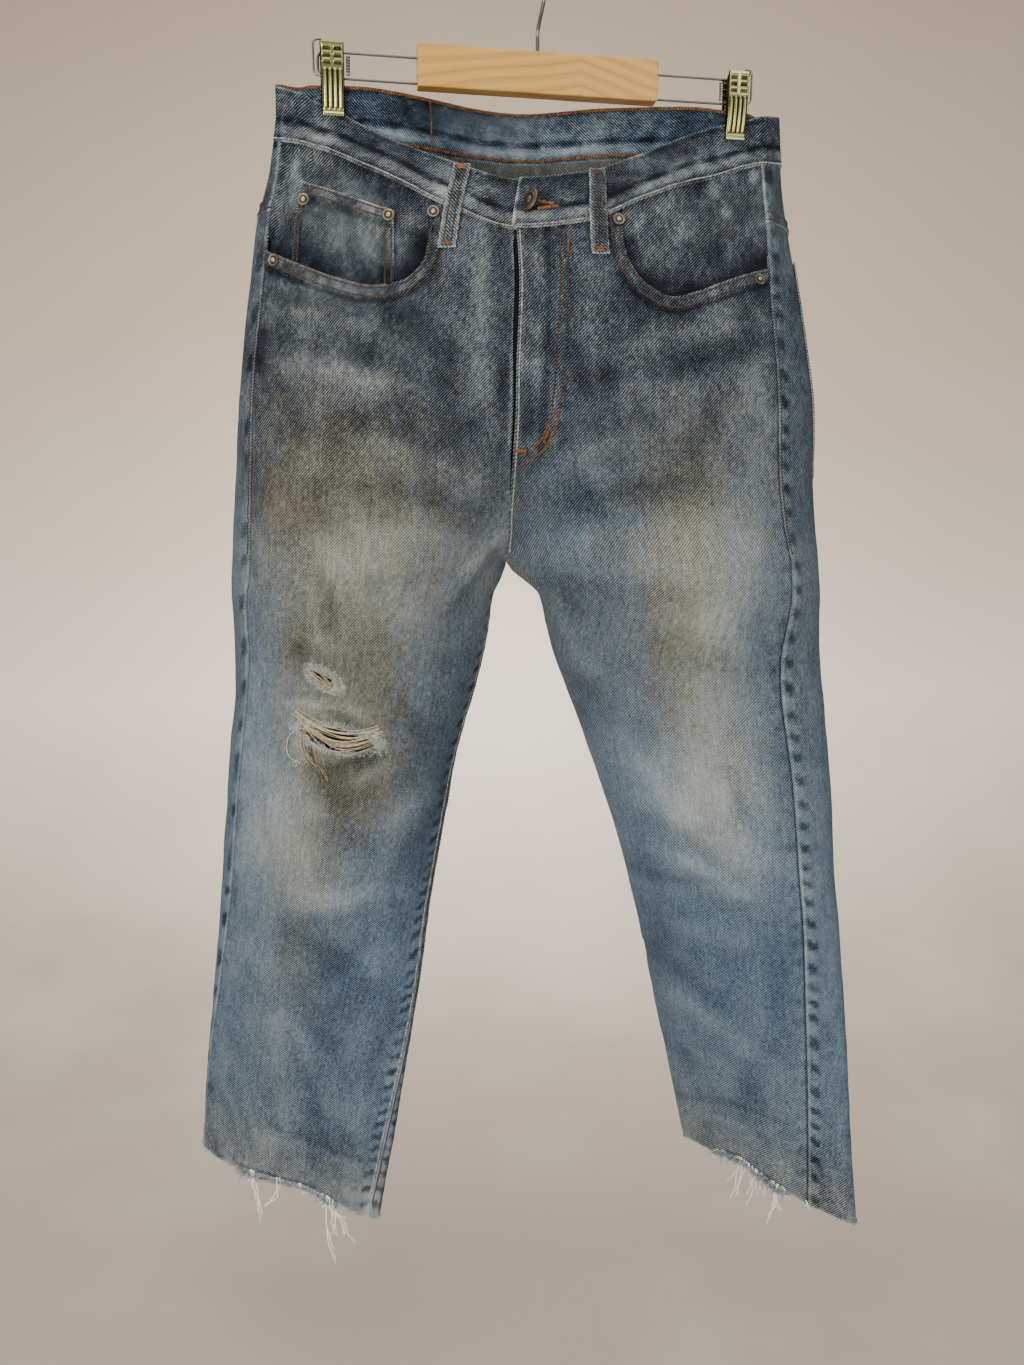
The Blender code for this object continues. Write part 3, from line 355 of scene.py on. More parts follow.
def band_edge(theta, lower):
    """Height of the waistband's top edge or lower seam at a section angle: the tables give it
    at x, and x follows from the height, so each is worked out from the other a few times."""
    in_front = np.sin(np.radians(theta)) >= 0
    z = np.full(np.shape(theta), -120 * MM)
    for _ in range(6):
        x = body_xy(theta, z)[0]
        front = curve(x, np.array(FRONT_EDGE) * MM)
        back = curve(x, np.array(BACK_EDGE) * MM) - np.where(lower, BAND_HEIGHT, 0)
        z = np.where(in_front, np.where(lower, front[..., 1], front[..., 0]), back)
    return z


def band_seam(u, side, front):
    """Height of the waistband's lower seam at a place of a panel."""
    z = np.full(np.shape(u), -130 * MM)
    for _ in range(4):
        z = band_edge(panel_angle(u, z, side, front), True)
    return z


def yoke_seam(u, side):
    """The yoke's lower seam: it drops evenly from the outseam to the centre back."""
    return band_seam(u, side, False) - (YOKE_SIDE + (YOKE_MIDDLE - YOKE_SIDE) * u)


def pocket_edge(u, side):
    return curve(u, np.array(POCKET_EDGE[side]) * (1, MM))


def hem_edge(u, side, front):
    return curve(u, np.array(HEM[(side, front)]) * (1, MM))


def arc_table(side, front):
    """Distance from the outseam on a lattice of places across and heights."""
    u = np.linspace(0, 1, 121)
    z = np.linspace(-80, -1010, 94) * MM
    points = surface(u[:, None], z[None, :], side, front)
    steps = np.linalg.norm(np.diff(points, axis=0), axis=-1)
    return np.concatenate([np.zeros((1, len(z))), np.cumsum(steps, 0)])


ARCS = {(side, front): arc_table(side, front) for side in (RIGHT, LEFT) for front in (True, False)}


def across(u, z, side, front):
    """Distance from the outseam along the cloth, read from the lattice by bilinear steps."""
    table = ARCS[(side, front)]
    a = np.clip(u, 0, 1) * 120
    b = np.clip((-80 * MM - z) / (930 * MM), 0, 1) * 93
    i, j = np.minimum(a.astype(int), 119), np.minimum(b.astype(int), 92)
    fa, fb = a - i, b - j
    return ((table[i, j] * (1 - fa) + table[i + 1, j] * fa) * (1 - fb)
            + (table[i, j + 1] * (1 - fa) + table[i + 1, j + 1] * fa) * fb)


def width_at(z, side, front):
    """Width of a panel's cloth at a height."""
    return across(np.ones_like(z), z, side, front)


def seam_distances(u, z, side, front):
    """Distances along the cloth from the outseam and from the panel's other seam."""
    out = across(u, z, side, front)
    return out, width_at(z, side, front) - out


def halved(is_short, shape, low, turns):
    """Places between low and 1 where is_short turns from true to false, found by halving."""
    low, high = np.full(shape, low), np.full(shape, 1.0)
    for _ in range(turns):
        middle = (low + high) / 2
        short = is_short(middle)
        low, high = np.where(short, middle, low), np.where(short, high, middle)
    return (low + high) / 2


def place_across(x, z, side, front):
    """The place u where a panel's surface stands at x; x and z are arrays."""
    rising = side == RIGHT
    return halved(lambda u: (surface(u, z, side, front)[..., 0] < x) == rising, np.shape(x), 0.02, 26)


def angle_at(x, z, front):
    """Section angle where the body's surface stands at x, at height z."""
    theta = np.linspace(4, 176, 345) * (1 if front else -1)
    line = body_xy(theta, np.full(345, float(z)))[0]
    return float(np.interp(x, line[::-1], theta[::-1]))


# ---- folds and wear

# Folds seen from outside: x, z of one end, x, z of the other, half-width, height (a trough is
# negative) and bow sideways at the middle.
FOLDS = {
    True: (
        # from the clips and pockets down over the hips
        (-150, -128, -110, -170, 7, -1.6, 3), (-128, -118, -86, -160, 6, 1.2, 2),
        (-168, -130, -176, -180, 6, -1.2, 0), (150, -122, 112, -158, 7, -1.6, -3),
        (128, -118, 88, -150, 6, 1.2, -2), (166, -128, 172, -170, 6, -1.2, 0),
        (-196, -226, -120, -262, 10, 1.6, 6), (-200, -250, -96, -282, 9, -1.5, 6),
        (-204, -284, -110, -296, 12, 1.2, 4), (-200, -330, -70, -300, 12, -1.2, -6),
        (-118, -240, -62, -262, 8, -1.5, 4), (-92, -236, -40, -290, 7, 1.3, 4),
        (170, -240, 96, -262, 10, 1.6, -6), (176, -262, 92, -284, 9, -1.5, -6),
        (174, -292, 80, -312, 12, 1.3, -5), (60, -240, 44, -300, 8, -1.4, 0),
        (82, -250, 60, -322, 7, 1.2, -2),
        # whiskers that run from the crotch to the sides
        (-38, -372, -150, -330, 9, 1.4, -6), (-36, -392, -178, -366, 9, -1.5, -6),
        (-40, -412, -160, -402, 10, 1.4, -4), (-48, -432, -190, -440, 9, -1.1, 4),
        (0, -362, 110, -326, 9, 1.3, 6), (2, -388, 140, -366, 9, -1.5, 6),
        (4, -410, 130, -400, 10, 1.3, 4), (14, -440, 160, -446, 10, -1.2, -3),
        (-24, -300, -90, -352, 8, -1.2, 3), (-22, -336, -80, -392, 7, 1.1, 3),
        (18, -356, 70, -400, 8, -1.1, -3), (-22, -396, -60, -436, 5, 1.6, 0),
        (-26, -412, -74, -470, 6, -1.7, 2), (0, -420, 36, -470, 6, -1.4, -2),
        (10, -446, 44, -520, 9, 1.6, -4),
        # the thigh's wrinkles round the worn places
        (-175, -404, -148, -421, 4, 1.0, 2), (-166, -426, -156, -478, 4, -1.8, 3),
        (-176, -436, -168, -490, 5, 1.4, 2), (-190, -480, -140, -500, 6, 1.3, 4),
        (-200, -536, -128, -546, 6, 2.4, 5), (-196, -566, -118, -560, 5, 1.6, -6),
        (-188, -590, -126, -574, 6, -2.2, -4), (-150, -600, -112, -584, 6, 1.6, 3),
        (-120, -520, -84, -580, 10, -1.5, 4), (-130, -640, -84, -600, 10, 1.4, -4),
        (-200, -640, -130, -660, 12, -1.3, 5), (-210, -700, -120, -690, 14, 1.5, -5),
        # knees and shins
        (-96, -640, -150, -720, 10, -1.5, 6), (-230, -742, -140, -770, 13, -1.4, 6),
        (-120, -730, -190, -800, 12, 1.4, 5), (-110, -790, -150, -880, 12, -1.3, -4),
        (-230, -820, -170, -880, 14, 1.4, 6), (-240, -900, -160, -930, 12, -1.2, 5),
        (-200, -860, -196, -960, 10, -1.0, 4), (-150, -880, -160, -970, 9, 1.0, -3),
        (60, -560, 130, -640, 12, 1.5, -5), (84, -640, 150, -676, 10, -1.7, 5),
        (90, -668, 166, -694, 8, 1.7, 5), (96, -700, 176, -716, 10, -1.6, 5),
        (110, -740, 180, -744, 12, 1.3, 4), (104, -772, 160, -812, 11, -1.4, -4),
        (120, -820, 190, -850, 12, 1.4, 5), (132, -872, 180, -930, 11, -1.2, -5),
        (180, -760, 186, -860, 10, 1.2, 4), (190, -880, 200, -960, 9, -1.1, 3),
        (84, -480, 170, -520, 14, -1.2, 5), (150, -580, 176, -660, 11, -1.2, -3),
        # worn fold lines of the old hems
        (-246, -936, -150, -944, 3, -1.1, 0), (-246, -942, -150, -950, 4, 1.0, 0),
        (138, -944, 168, -916, 3, -1.1, 0), (166, -915, 218, -909, 3, -1.1, 2),
        (140, -950, 216, -918, 4, 0.9, 0),
    ),
    False: (
        (-150, -126, -96, -182, 9, -1.6, 4), (-172, -124, -168, -190, 8, 1.2, 0),
        (150, -124, 104, -180, 9, -1.6, -4), (170, -124, 170, -190, 8, 1.2, 0),
        (-20, -330, -150, -300, 12, 1.4, 8), (-20, -360, -176, -346, 12, -1.5, 8),
        (-20, -390, -160, -392, 12, 1.5, 6), (-24, -414, -180, -440, 10, -1.6, 6),
        (-30, -436, -170, -480, 10, 1.4, 4), (0, -330, 130, -302, 12, 1.4, -8),
        (-2, -360, 160, -348, 12, -1.5, -8), (0, -390, 150, -394, 12, 1.5, -6),
        (4, -414, 166, -440, 10, -1.6, -6), (12, -440, 150, -484, 10, 1.4, -4),
        (-60, -470, -190, -530, 13, -1.4, 5), (-80, -520, -210, -560, 13, 1.3, 5),
        (-90, -620, -230, -650, 12, -1.7, 6), (-96, -650, -236, -676, 10, 1.8, 6),
        (-104, -684, -230, -704, 10, -1.7, 6), (-110, -720, -240, -730, 12, 1.3, 5),
        (-120, -780, -230, -820, 14, -1.3, 5), (-140, -850, -250, -880, 13, 1.3, 5),
        (40, -480, 160, -530, 13, -1.4, -5), (56, -530, 190, -564, 13, 1.3, -5),
        (80, -622, 206, -650, 12, -1.7, -6), (90, -654, 210, -678, 10, 1.8, -6),
        (100, -688, 220, -706, 10, -1.7, -6), (110, -726, 226, -736, 12, 1.3, -5),
        (130, -790, 240, -824, 14, -1.3, -5), (146, -850, 256, -884, 13, 1.3, -5),
        (-250, -938, -150, -944, 3, -1.1, 0), (160, -930, 262, -950, 3, -1.1, 0),
    ),
}
# Where the cloth has faded or kept its blue, and one patch of painted light beside the crotch: x, z,
# half-width, half-height, tilt, amount.
FADES = {
    True: (
        # (-38, -436) is painted light: paler cloth where the crotch's shade falls
        (-90, -440, 46, 66, 0, 0.13), (-38, -436, 14, 26, 0, 0.14),
        (98, -440, 44, 56, 0, 0.15), (182, -650, 28, 90, 6, 0.14),
        (186, -962, 18, 50, 0, 0.14), (62, -278, 34, 22, 0, -0.10), (-10, -300, 14, 60, 0, -0.07),
        (-184, -490, 9, 15, -20, -0.16), (-152, -543, 15, 6, -30, -0.18),
        (-164, -606, 12, 22, 35, -0.12),
        (-190, -560, 60, 90, 0, 0.10), (-206, -650, 40, 60, 0, 0.20),
        (-150, -432, 44, 26, 10, 0.17), (-150, -345, 60, 34, 0, 0.06),
        (-78, -560, 20, 120, -8, -0.10), (-240, -620, 16, 150, 4, 0.04),
        (-166, -776, 34, 42, 0, -0.13), (-226, -840, 26, 60, 0, 0.06),
        (-130, -860, 34, 80, 0, -0.03), (-92, -660, 16, 120, -14, -0.08),
        (-170, -940, 60, 20, 0, -0.09), (-60, -230, 26, 60, 0, 0.03),
        (-150, -615, 40, 36, 0, -0.10), (-190, -866, 30, 50, 0, -0.10),
        (-44, -215, 10, 60, 0, 0.16), (-98, -258, 26, 16, -14, -0.10),
        (-190, -276, 20, 20, 0, -0.06), (-176, -246, 44, 8, -10, 0.14),
        (-216, -272, 10, 15, 0, -0.24), (-70, -274, 24, 10, 0, -0.12),
        (-190, -262, 34, 5, -14, -0.10), (-150, -286, 50, 5, -12, 0.06),
        (-62, -330, 24, 46, 0, -0.06), (-30, -270, 8, 90, 0, 0.04),
        (-46, -300, 12, 30, 20, 0.08), (-34, -350, 10, 26, 10, -0.08),
        (130, -600, 30, 66, 0, 0.26), (136, -480, 32, 60, 0, 0.14),
        (110, -640, 70, 80, 0, 0.10), (160, -400, 34, 56, 0, 0.14),
        (110, -370, 50, 60, 10, 0.05), (34, -530, 16, 66, 20, -0.08),
        (40, -460, 30, 70, 0, -0.06), (190, -500, 20, 150, 2, -0.08),
        (196, -700, 18, 140, 4, -0.07), (100, -700, 18, 70, 14, -0.10),
        (152, -660, 26, 20, 0, 0.08), (200, -800, 22, 60, 0, -0.07),
        (72, -270, 18, 14, 0, 0.10), (30, -290, 22, 50, 0, -0.06),
        (84, -236, 30, 12, -10, -0.10), (160, -300, 24, 40, 0, 0.12),
        (190, -272, 9, 12, 0, -0.22), (60, -250, 40, 5, 20, 0.07),
        (150, -252, 30, 5, 16, 0.10), (130, -274, 44, 6, 14, -0.10),
        (150, -760, 40, 60, 0, -0.07), (186, -900, 10, 60, 0, -0.12),
        (150, -930, 30, 40, 0, 0.07), (222, -880, 16, 90, 0, 0.05),
        (8, -300, 9, 60, 0, 0.06), (20, -210, 14, 24, 0, 0.05),
        (-90, -170, 40, 26, -20, -0.08), (144, -605, 9, 12, 0, 0.12),
        (-152, -700, 46, 8, 14, 0.06), (-176, -722, 40, 7, 10, -0.07),
        (120, -706, 50, 7, 12, 0.06), (130, -690, 44, 6, 12, -0.07),
        (150, -240, 50, 50, 0, -0.04), (-140, -265, 60, 34, 0, 0.07), (150, -95, 60, 22, 0, -0.12),
        (-185, -182, 7, 26, 0, -0.22), (-172, -140, 16, 9, -14, 0.20), (-94, -205, 15, 13, 0, -0.20),
        (-140, -186, 22, 16, 0, 0.14), (-189, -216, 22, 5, -15, -0.24), (-153, -226, 42, 7, -8, 0.15),
        (-165, -239, 40, 6, -12, -0.10), (-158, -272, 50, 22, -10, 0.12), (-208, -262, 8, 26, 0, -0.22),
        (-62, -210, 8, 42, 8, 0.07), (-77, -219, 6, 28, 10, -0.10), (-30, -272, 7, 50, 0, -0.06),
        (-42, -238, 7, 40, 4, 0.06), (-54, -246, 5, 34, 10, -0.06), (9, -224, 7, 40, 0, -0.12),
        (51, -217, 20, 20, 0, 0.10), (82, -240, 26, 12, -8, -0.12), (79, -266, 36, 7, 15, 0.12),
        (110, -284, 40, 8, 18, -0.10), (60, -300, 34, 8, 12, 0.10), (-100, -300, 44, 9, -16, 0.10),
        (-110, -282, 40, 7, -16, -0.10), (-84, -336, 40, 8, -20, -0.08), (46, -190, 9, 14, 0, -0.14),
    ),
    False: (
        (-120, -250, 60, 70, 0, 0.08), (110, -250, 60, 70, 0, 0.08),
        (-130, -460, 60, 60, 0, 0.06), (120, -460, 60, 60, 0, 0.06),
        (-160, -660, 50, 60, 0, -0.06), (150, -660, 50, 60, 0, -0.06),
        (-190, -800, 50, 90, 0, 0.05), (190, -800, 50, 90, 0, 0.05),
        (-20, -420, 30, 70, 0, -0.10), (0, -240, 240, 110, 0, 0.07),
    ),
}
# Dirt rubbed into the cloth: x, z, half-width, half-height, tilt, olive, rust.
SOIL = {
    True: (
        (-184, -490, 10, 16, -20, 0.3, 0.05), (-152, -543, 16, 8, -30, 0.3, 0.08),
        (-164, -606, 14, 24, 35, 0.3, 0.05), (-160, -370, 56, 66, 0, 0.56, 0.05),
        (-186, -384, 22, 12, 24, 0.20, 0.34),
        (-196, -372, 12, 8, 0, 0.10, 0.26), (-172, -394, 14, 6, 10, 0.15, 0.22),
        (-150, -500, 44, 76, 0, 0.60, 0.06), (-150, -592, 44, 50, 0, 0.55, 0.06),
        (-190, -666, 34, 44, 0, 0.45, 0.00), (-202, -760, 26, 60, 0, 0.28, 0.00),
        (-134, -500, 12, 40, 10, 0.20, 0.00), (-90, -400, 40, 60, 0, 0.22, 0.00),
        (-232, -500, 20, 90, 0, -0.14, 0.00), (-232, -860, 26, 80, 0, 0.14, 0.00),
        (110, -396, 32, 70, 0, 0.40, 0.00), (112, -490, 28, 66, 0, 0.46, 0.00),
        (140, -604, 26, 56, 0, 0.38, 0.02), (154, -664, 20, 26, 0, 0.12, 0.00),
        (128, -560, 20, 16, 0, 0.14, 0.04), (100, -456, 4, 3, 0, 0.60, 0.20),
        (124, -790, 56, 120, 0, -0.30, 0.00), (74, -640, 26, 80, 0, -0.30, 0.00),
        (-215, -770, 10, 40, 0, 0.10, 0.00), (20, -380, 30, 60, 0, -0.10, 0.00),
    ),
    False: (
        (-120, -520, 50, 60, 0, 0.20, 0.00), (120, -540, 50, 60, 0, 0.18, 0.00),
        (0, -106, 220, 26, 0, -0.40, 0.00), (0, -250, 240, 130, 0, -0.26, 0.00),
        (-180, -960, 60, 30, 0, 0.18, 0.00),
        (190, -960, 60, 30, 0, 0.18, 0.00),
    ),
}
# Base fade and dirt down the garment, before the patches: darkest at the waist, paler from the crotch down
# and palest at the hem. Height, fade, dirt.
LEVELS_DOWN = ((-1010, 0.56, 0.58), (-960, 0.47, 0.46), (-920, 0.45, 0.26), (-780, 0.46, 0.20),
             (-700, 0.47, 0.24), (-600, 0.46, 0.32), (-500, 0.45, 0.40), (-430, 0.46, 0.46),
             (-360, 0.37, 0.50), (-300, 0.28, 0.52), (-240, 0.21, 0.52), (-180, 0.20, 0.54),
             (-130, 0.175, 0.52), (-80, 0.165, 0.46))
# How uneven the fading is down the garment: height, share
UNEVEN = ((-1010, 1.7), (-960, 1.3), (-880, 0.75), (-560, 0.5), (-420, 0.5), (-330, 1.1),
          (-260, 1.7), (-80, 1.8))


def undulation(x, z, cell, seed):
    """Smooth random height from -1 to 1: random values on a square lattice of cells, blended
    between neighbours by a smoothstep."""
    lattice = np.random.default_rng(seed).uniform(-1, 1, (97, 97))
    a, b = x / cell + 48.37, z / cell + 48.71
    i, j = np.floor(a).astype(int), np.floor(b).astype(int)
    fa, fb = a - i, b - j
    fa, fb = fa * fa * (3 - 2 * fa), fb * fb * (3 - 2 * fb)
    i, j, k, m = i % 97, j % 97, (i + 1) % 97, (j + 1) % 97
    return ((lattice[i, j] * (1 - fa) + lattice[k, j] * fa) * (1 - fb)
            + (lattice[i, m] * (1 - fa) + lattice[k, m] * fa) * fb)


FOLD_DEPTH = 1.45           # every fold's height in the table is multiplied by this


def fold_height(x, z, front):
    """Sum of the folds: each is a rounded ridge or trough along a bowed line, steeper on its
    upper side, that dies away at its ends. Two sizes of soft undulation lie under them."""
    x, z = x / MM, z / MM
    total = 0.8 * undulation(x, z, 46, 11 if front else 12) + 0.34 * undulation(x, z, 17, 13)
    for x1, z1, x2, z2, width, height, bow in FOLDS[front]:
        length = math.hypot(x2 - x1, z2 - z1)
        dx, dz = (x2 - x1) / length, (z2 - z1) / length
        along = ((x - x1) * dx + (z - z1) * dz) / length
        middle = np.clip(1 - (2 * along - 1)**2, 0, 1)
        aside = (z - z1) * dx - (x - x1) * dz - bow * middle
        aside = aside * np.sign(dx if abs(dx) > 1e-6 else 1)
        reach = width * (1 - 0.35 * np.tanh(aside / width))
        beyond = np.maximum(np.abs(along - 0.5) - 0.5, 0) * length
        ridge = FOLD_DEPTH * height * np.exp(-(aside / reach)**2 - (beyond / width)**2)
        total = total + ridge * middle**0.35
    pressed = np.exp(-((np.abs(x) - 151) / 20)**4 - ((z + 84) / 36)**4)
    return total * (1 - pressed) * MM


def tilted(x, z, across, along, half_width, half_height, tilt):
    """Places in the frame of a tilted oval, where its rim is at a distance of 1."""
    c, s = math.cos(math.radians(tilt)), math.sin(math.radians(tilt))
    dx, dz = x / MM - across, z / MM - along
    return (dx * c + dz * s) / half_width, (dz * c - dx * s) / half_height


def patches(rows, x, z, column):
    """Sum of soft oval patches from a table of x, z, half-width, half-height, tilt, amounts."""
    total = np.zeros(np.shape(x))
    for row in rows:
        a, b = tilted(x, z, *row[:5])
        total = total + row[column] * np.exp(-(a * a + b * b))
    return total


def seam_rope(z, cell, seed):
    """Uneven roping along a seam, about -1 to 1: smooth random values a cell apart."""
    rope = undulation(np.full(np.shape(z), 3.0 + seed), z / MM, cell, 70 + seed)
    return np.sign(rope) * np.abs(rope)**0.8


def seam_relief(d, z, deep, seed, cell):
    """Height of the cloth beside a sewn seam at a distance d: a narrow groove on the seam, a
    low ridge where the turned edges lie, and ropes and puckers that fade out by 12 mm."""
    d = d / MM
    pucker = 0.22 * np.sin(z / (2.3 * MM) + seed + 1.3 * np.sin(z / (19 * MM)))
    ridge = deep * bell(d, 4.0, 4.5)
    groove = -0.55 * bell(d, 1.1)
    rope = 0.3 * seam_rope(z, cell, seed) * bell(d, 4.0, 5)
    return (ridge + groove + rope + pucker * bell(d, 6.0)) * MM


def seam_tone(d, z, seed, cell, blobs, line):
    """Fading beside a seam: its rubbed or dark line, and blue blobs two cells apart, slanted
    and uneven, where the ropes kept their dye."""
    d = d / MM
    phase = (z / MM + 0.45 * d) / cell * math.pi + 3.8 * undulation(d * 0 + seed, z / MM, 37, 80 + seed)
    blob = smoothstep(np.sin(phase), 0.0, 0.8)
    depth = 0.36 + 0.16 * undulation(z / MM, d * 0 + 5 * seed, 23, 90)
    return (blobs * (0.07 - depth * blob) * bell(d, 4.2, 6, 4)
            + line * bell(d - 1.2 * (line > 0), 1.2))


FLY_FOOT = -344 * MM


def fly_step(u, z, side):
    """The left front laps over the right along the fly: one side up, the other down."""
    width = seam_distances(u, z, side, True)[1]
    along = np.clip((z - FLY_FOOT) / (24 * MM), 0, 1)
    if side == LEFT:
        return along * 1.5 * MM * np.clip(1 - (width - 36 * MM) / (12 * MM), 0, 1)
    return -along * 0.7 * MM * bell(width, 7 * MM)


def fly_gap(z):
    """Width of the dark slit beside the fly's edge at a height: widest below the waistband."""
    return smooth(z / MM, (-372, -345, -300, -250, -200, -190), (0, 1.2, 1.9, 3.6, 3.4, 0.8)) * MM


def mouth_distance(u, z, side):
    """Distance below a front pocket's edge, measured across and down the cloth."""
    place = np.linspace(0, POCKET_EDGE[side][-1][0], 90)
    edge_z = pocket_edge(place, side)
    edge_a = across(place, edge_z, side, True)
    a = across(u, z, side, True)
    near = np.full(a.shape, 1.0)
    for edge in range(0, 90, 2):
        near = np.minimum(near, np.hypot(a - edge_a[edge], z - edge_z[edge]))
    return near


def smoothstep(x, low, high):
    """0 below low, 1 above high, and a smooth step between them."""
    t = np.clip((x - low) / (high - low), 0, 1)
    return t * t * (3 - 2 * t)


def lay(u, z, side, front, lift=0.0, shaped=True):
    """Points and normals of a piece that follows a panel: the surface moved out along its
    normal by the folds, the seams' own shape and the lift. Folds die out at the seams."""
    u, z = np.broadcast_arrays(np.asarray(u, float), np.asarray(z, float))
    base = surface(u, z, side, front)
    normal = panel_normal(u, z, side, front)
    out, inner = seam_distances(u, z, side, front)
    below = z < CROTCH_Z
    calm = smoothstep(out, 0, 9 * MM) * np.where(below, smoothstep(inner, 0, 9 * MM), 1)
    calm = calm * np.where(front, 1, 0.35 + 0.65 * smoothstep(inner, 0, 12 * MM))
    move = fold_height(base[..., 0], base[..., 2], front) * calm
    if shaped:
        move = move + seam_relief(out, z, 0.45, side + 2 + front, 19)
        move = move + np.where(below, seam_relief(inner, z, 0.2 if front else 0.5, side + 6, 9), 0)
        if front:
            move = move + fly_step(u, z, side)
        else:
            move = move + np.where(below, 0, seam_relief(inner, z, 0.3, 9, 12))
    return base + normal * (move + lift)[..., None], normal


def wear(base, front):
    """Fade, olive dirt and rust at points of the garment, from their tables. The fade also follows the
    folds: worn paler on their ridges, with painted shade in their troughs.
    """
    x, z = base[..., 0], base[..., 2]
    level = curve(z / MM, LEVELS_DOWN)
    fade = level[..., 0] + patches(FADES[front], x, z, 5)
    cloud = (0.05 * undulation(x / MM, z / MM / 1.7, 29, 5)
             + 0.05 * undulation(x / MM, z / MM / 1.8, 13, 6))
    crease = 0.35 - np.abs(undulation((x + 0.3 * z) / MM, z / MM / 1.5, 17, 7))
    uneven = curve(z / MM, UNEVEN)
    fade = fade + uneven * (cloud + 0.09 * crease)
    # paler on the folds' ridges as wear, and darker in their troughs as painted shade that makes the folds
    # show
    fade = fade + 38 * fold_height(x, z, front)
    return {"fade": fade, "uneven": uneven, "soil": level[..., 1] + patches(SOIL[front], x, z, 5),
            "rust": patches(SOIL[front], x, z, 6) if front else np.zeros(x.shape)}


# ---- meshes


def make_object(name, points, faces, finish, marks=None, uv=None, sharp=50):
    """Mesh object at the origin from arrays of points and faces, with its marks and UVs."""
    mesh = bpy.data.meshes.new(name)
    mesh.from_pydata(points, [], faces)
    for mark, values in (marks or {}).items():
        layer = mesh.attributes.new(mark, "FLOAT", "POINT")
        layer.data.foreach_set("value", np.asarray(values, np.float32).ravel())
    if uv is not None:
        corner = np.empty(len(mesh.loops), np.int32)
        mesh.loops.foreach_get("vertex_index", corner)
        layer = mesh.uv_layers.new(name="cloth")
        layer.data.foreach_set("uv", np.asarray(uv, np.float32)[corner].ravel())
    mesh.materials.append(finish)
    mesh.shade_smooth()
    if sharp:
        mesh.set_sharp_from_angle(angle=math.radians(sharp))
    mesh.validate()
    made = bpy.data.objects.new(name, mesh)
    bpy.context.scene.collection.objects.link(made)
    return made


def cloth_shell(name, middle, normal, thickness, finish, marks, uv, keep=None, turned_over=False):
    """Closed wall from grids (columns, rows) of middle points and normals: an outer sheet, an
    inner sheet, and a rim along every open edge, also round the holes that keep leaves out."""
    columns, rows = middle.shape[:2]
    number = np.arange(columns * rows).reshape(columns, rows)
    quads = np.stack([number[:-1, :-1], number[1:, :-1], number[1:, 1:], number[:-1, 1:]], -1)
    quads = quads[keep] if keep is not None else quads.reshape(-1, 4)
    flat = middle.reshape(-1, 3)
    a, b, d = flat[quads[:, 0]], flat[quads[:, 1]], flat[quads[:, 3]]
    lie = np.einsum("ij,ij->i", np.cross(b - a, d - a), normal.reshape(-1, 3)[quads[:, 0]])
    if lie.sum() < 0:
        quads = quads[:, ::-1]
    count = columns * rows
    starts, ends = quads.ravel(), np.roll(quads, -1, 1).ravel()
    forward, backward = starts * count + ends, ends * count + starts
    rim = ~np.isin(forward, backward)
    s, e = starts[rim], ends[rim]
    faces = np.concatenate([quads, quads[:, ::-1] + count, np.stack([e, s, s + count, e + count], -1)])
    half = (normal * (np.asarray(thickness) / 2 if np.ndim(thickness) == 0
                      else thickness[..., None] / 2)).reshape(-1, 3)
    points = np.concatenate([flat + half, flat - half])
    used = np.zeros(2 * count, bool)
    used[faces.ravel()] = True
    renumber = np.cumsum(used) - 1
    both = {mark: np.concatenate([v.ravel(), v.ravel()])[used] for mark, v in marks.items()}
    inner = np.concatenate([np.zeros(count), np.full(count, 0.0 if turned_over else 1.0)])[used]
    both["inside"] = inner
    both_uv = np.concatenate([uv.reshape(-1, 2), uv.reshape(-1, 2)])[used]
    return make_object(name, points[used], renumber[faces], finish, both, both_uv)


def spaced(start, stop, step, fine=()):
    """Places from start to stop a step apart, closer within each (low, high, step) of fine."""
    t = np.linspace(0, 1, 4001)
    place = start + (stop - start) * t
    density = np.full(t.shape, 1 / step)
    for low, high, close in fine:
        inside = smoothstep(place, low - 3 * step, low) * (1 - smoothstep(place, high, high + 3 * step))
        density = density + inside * (1 / close - 1 / step)
    total = np.concatenate([[0], np.cumsum((density[1:] + density[:-1]) / 2 * abs(stop - start) / 4000)])
    count = max(int(round(total[-1])), 2)
    return np.interp(np.linspace(0, total[-1], count + 1), total, place)


def strands(paths, radius, sides=4):
    """Thin round yarns as arrays: paths (yarns, points, 3), radius a number or (yarns, points).
    Each ring is set out round the path's direction, and both ends are capped."""
    paths = np.asarray(paths, float)
    yarns, steps = paths.shape[:2]
    radius = np.broadcast_to(np.asarray(radius, float), (yarns, steps))
    ahead = unit(np.gradient(paths, axis=1))
    helper = np.where(np.abs(ahead[..., 1:2]) < 0.8, np.array([0.0, 1.0, 0.0]),
                      np.array([1.0, 0.0, 0.0]))
    side = unit(np.cross(ahead, helper))
    up = np.cross(side, ahead)
    turn = np.arange(sides) * 2 * np.pi / sides
    ring = (side[:, :, None] * np.cos(turn)[:, None] + up[:, :, None] * np.sin(turn)[:, None])
    points = paths[:, :, None] + ring * radius[:, :, None, None]
    number = np.arange(yarns * steps * sides).reshape(yarns, steps, sides)
    nxt = np.roll(number, -1, 2)
    quads = np.stack([number[:, :-1], number[:, 1:], nxt[:, 1:], nxt[:, :-1]], -1).reshape(-1, 4)
    caps = np.concatenate([number[:, 0], number[:, -1][:, ::-1]])
    return points.reshape(-1, 3), quads, caps


def join_strands(name, groups, finish, tones):
    """One object from several (points, quads, caps) groups."""
    points, faces, tone, base = [], [], [], 0
    for k, (p, quads, caps) in enumerate(groups):
        points.append(p)
        faces += (quads + base).tolist() + (caps + base).tolist()
        tone.append(np.broadcast_to(tones[k], len(p)))
        base += len(p)
    return make_object(name, np.concatenate(points), faces, finish,
                       {"tone": np.concatenate(tone)}, None, 0)


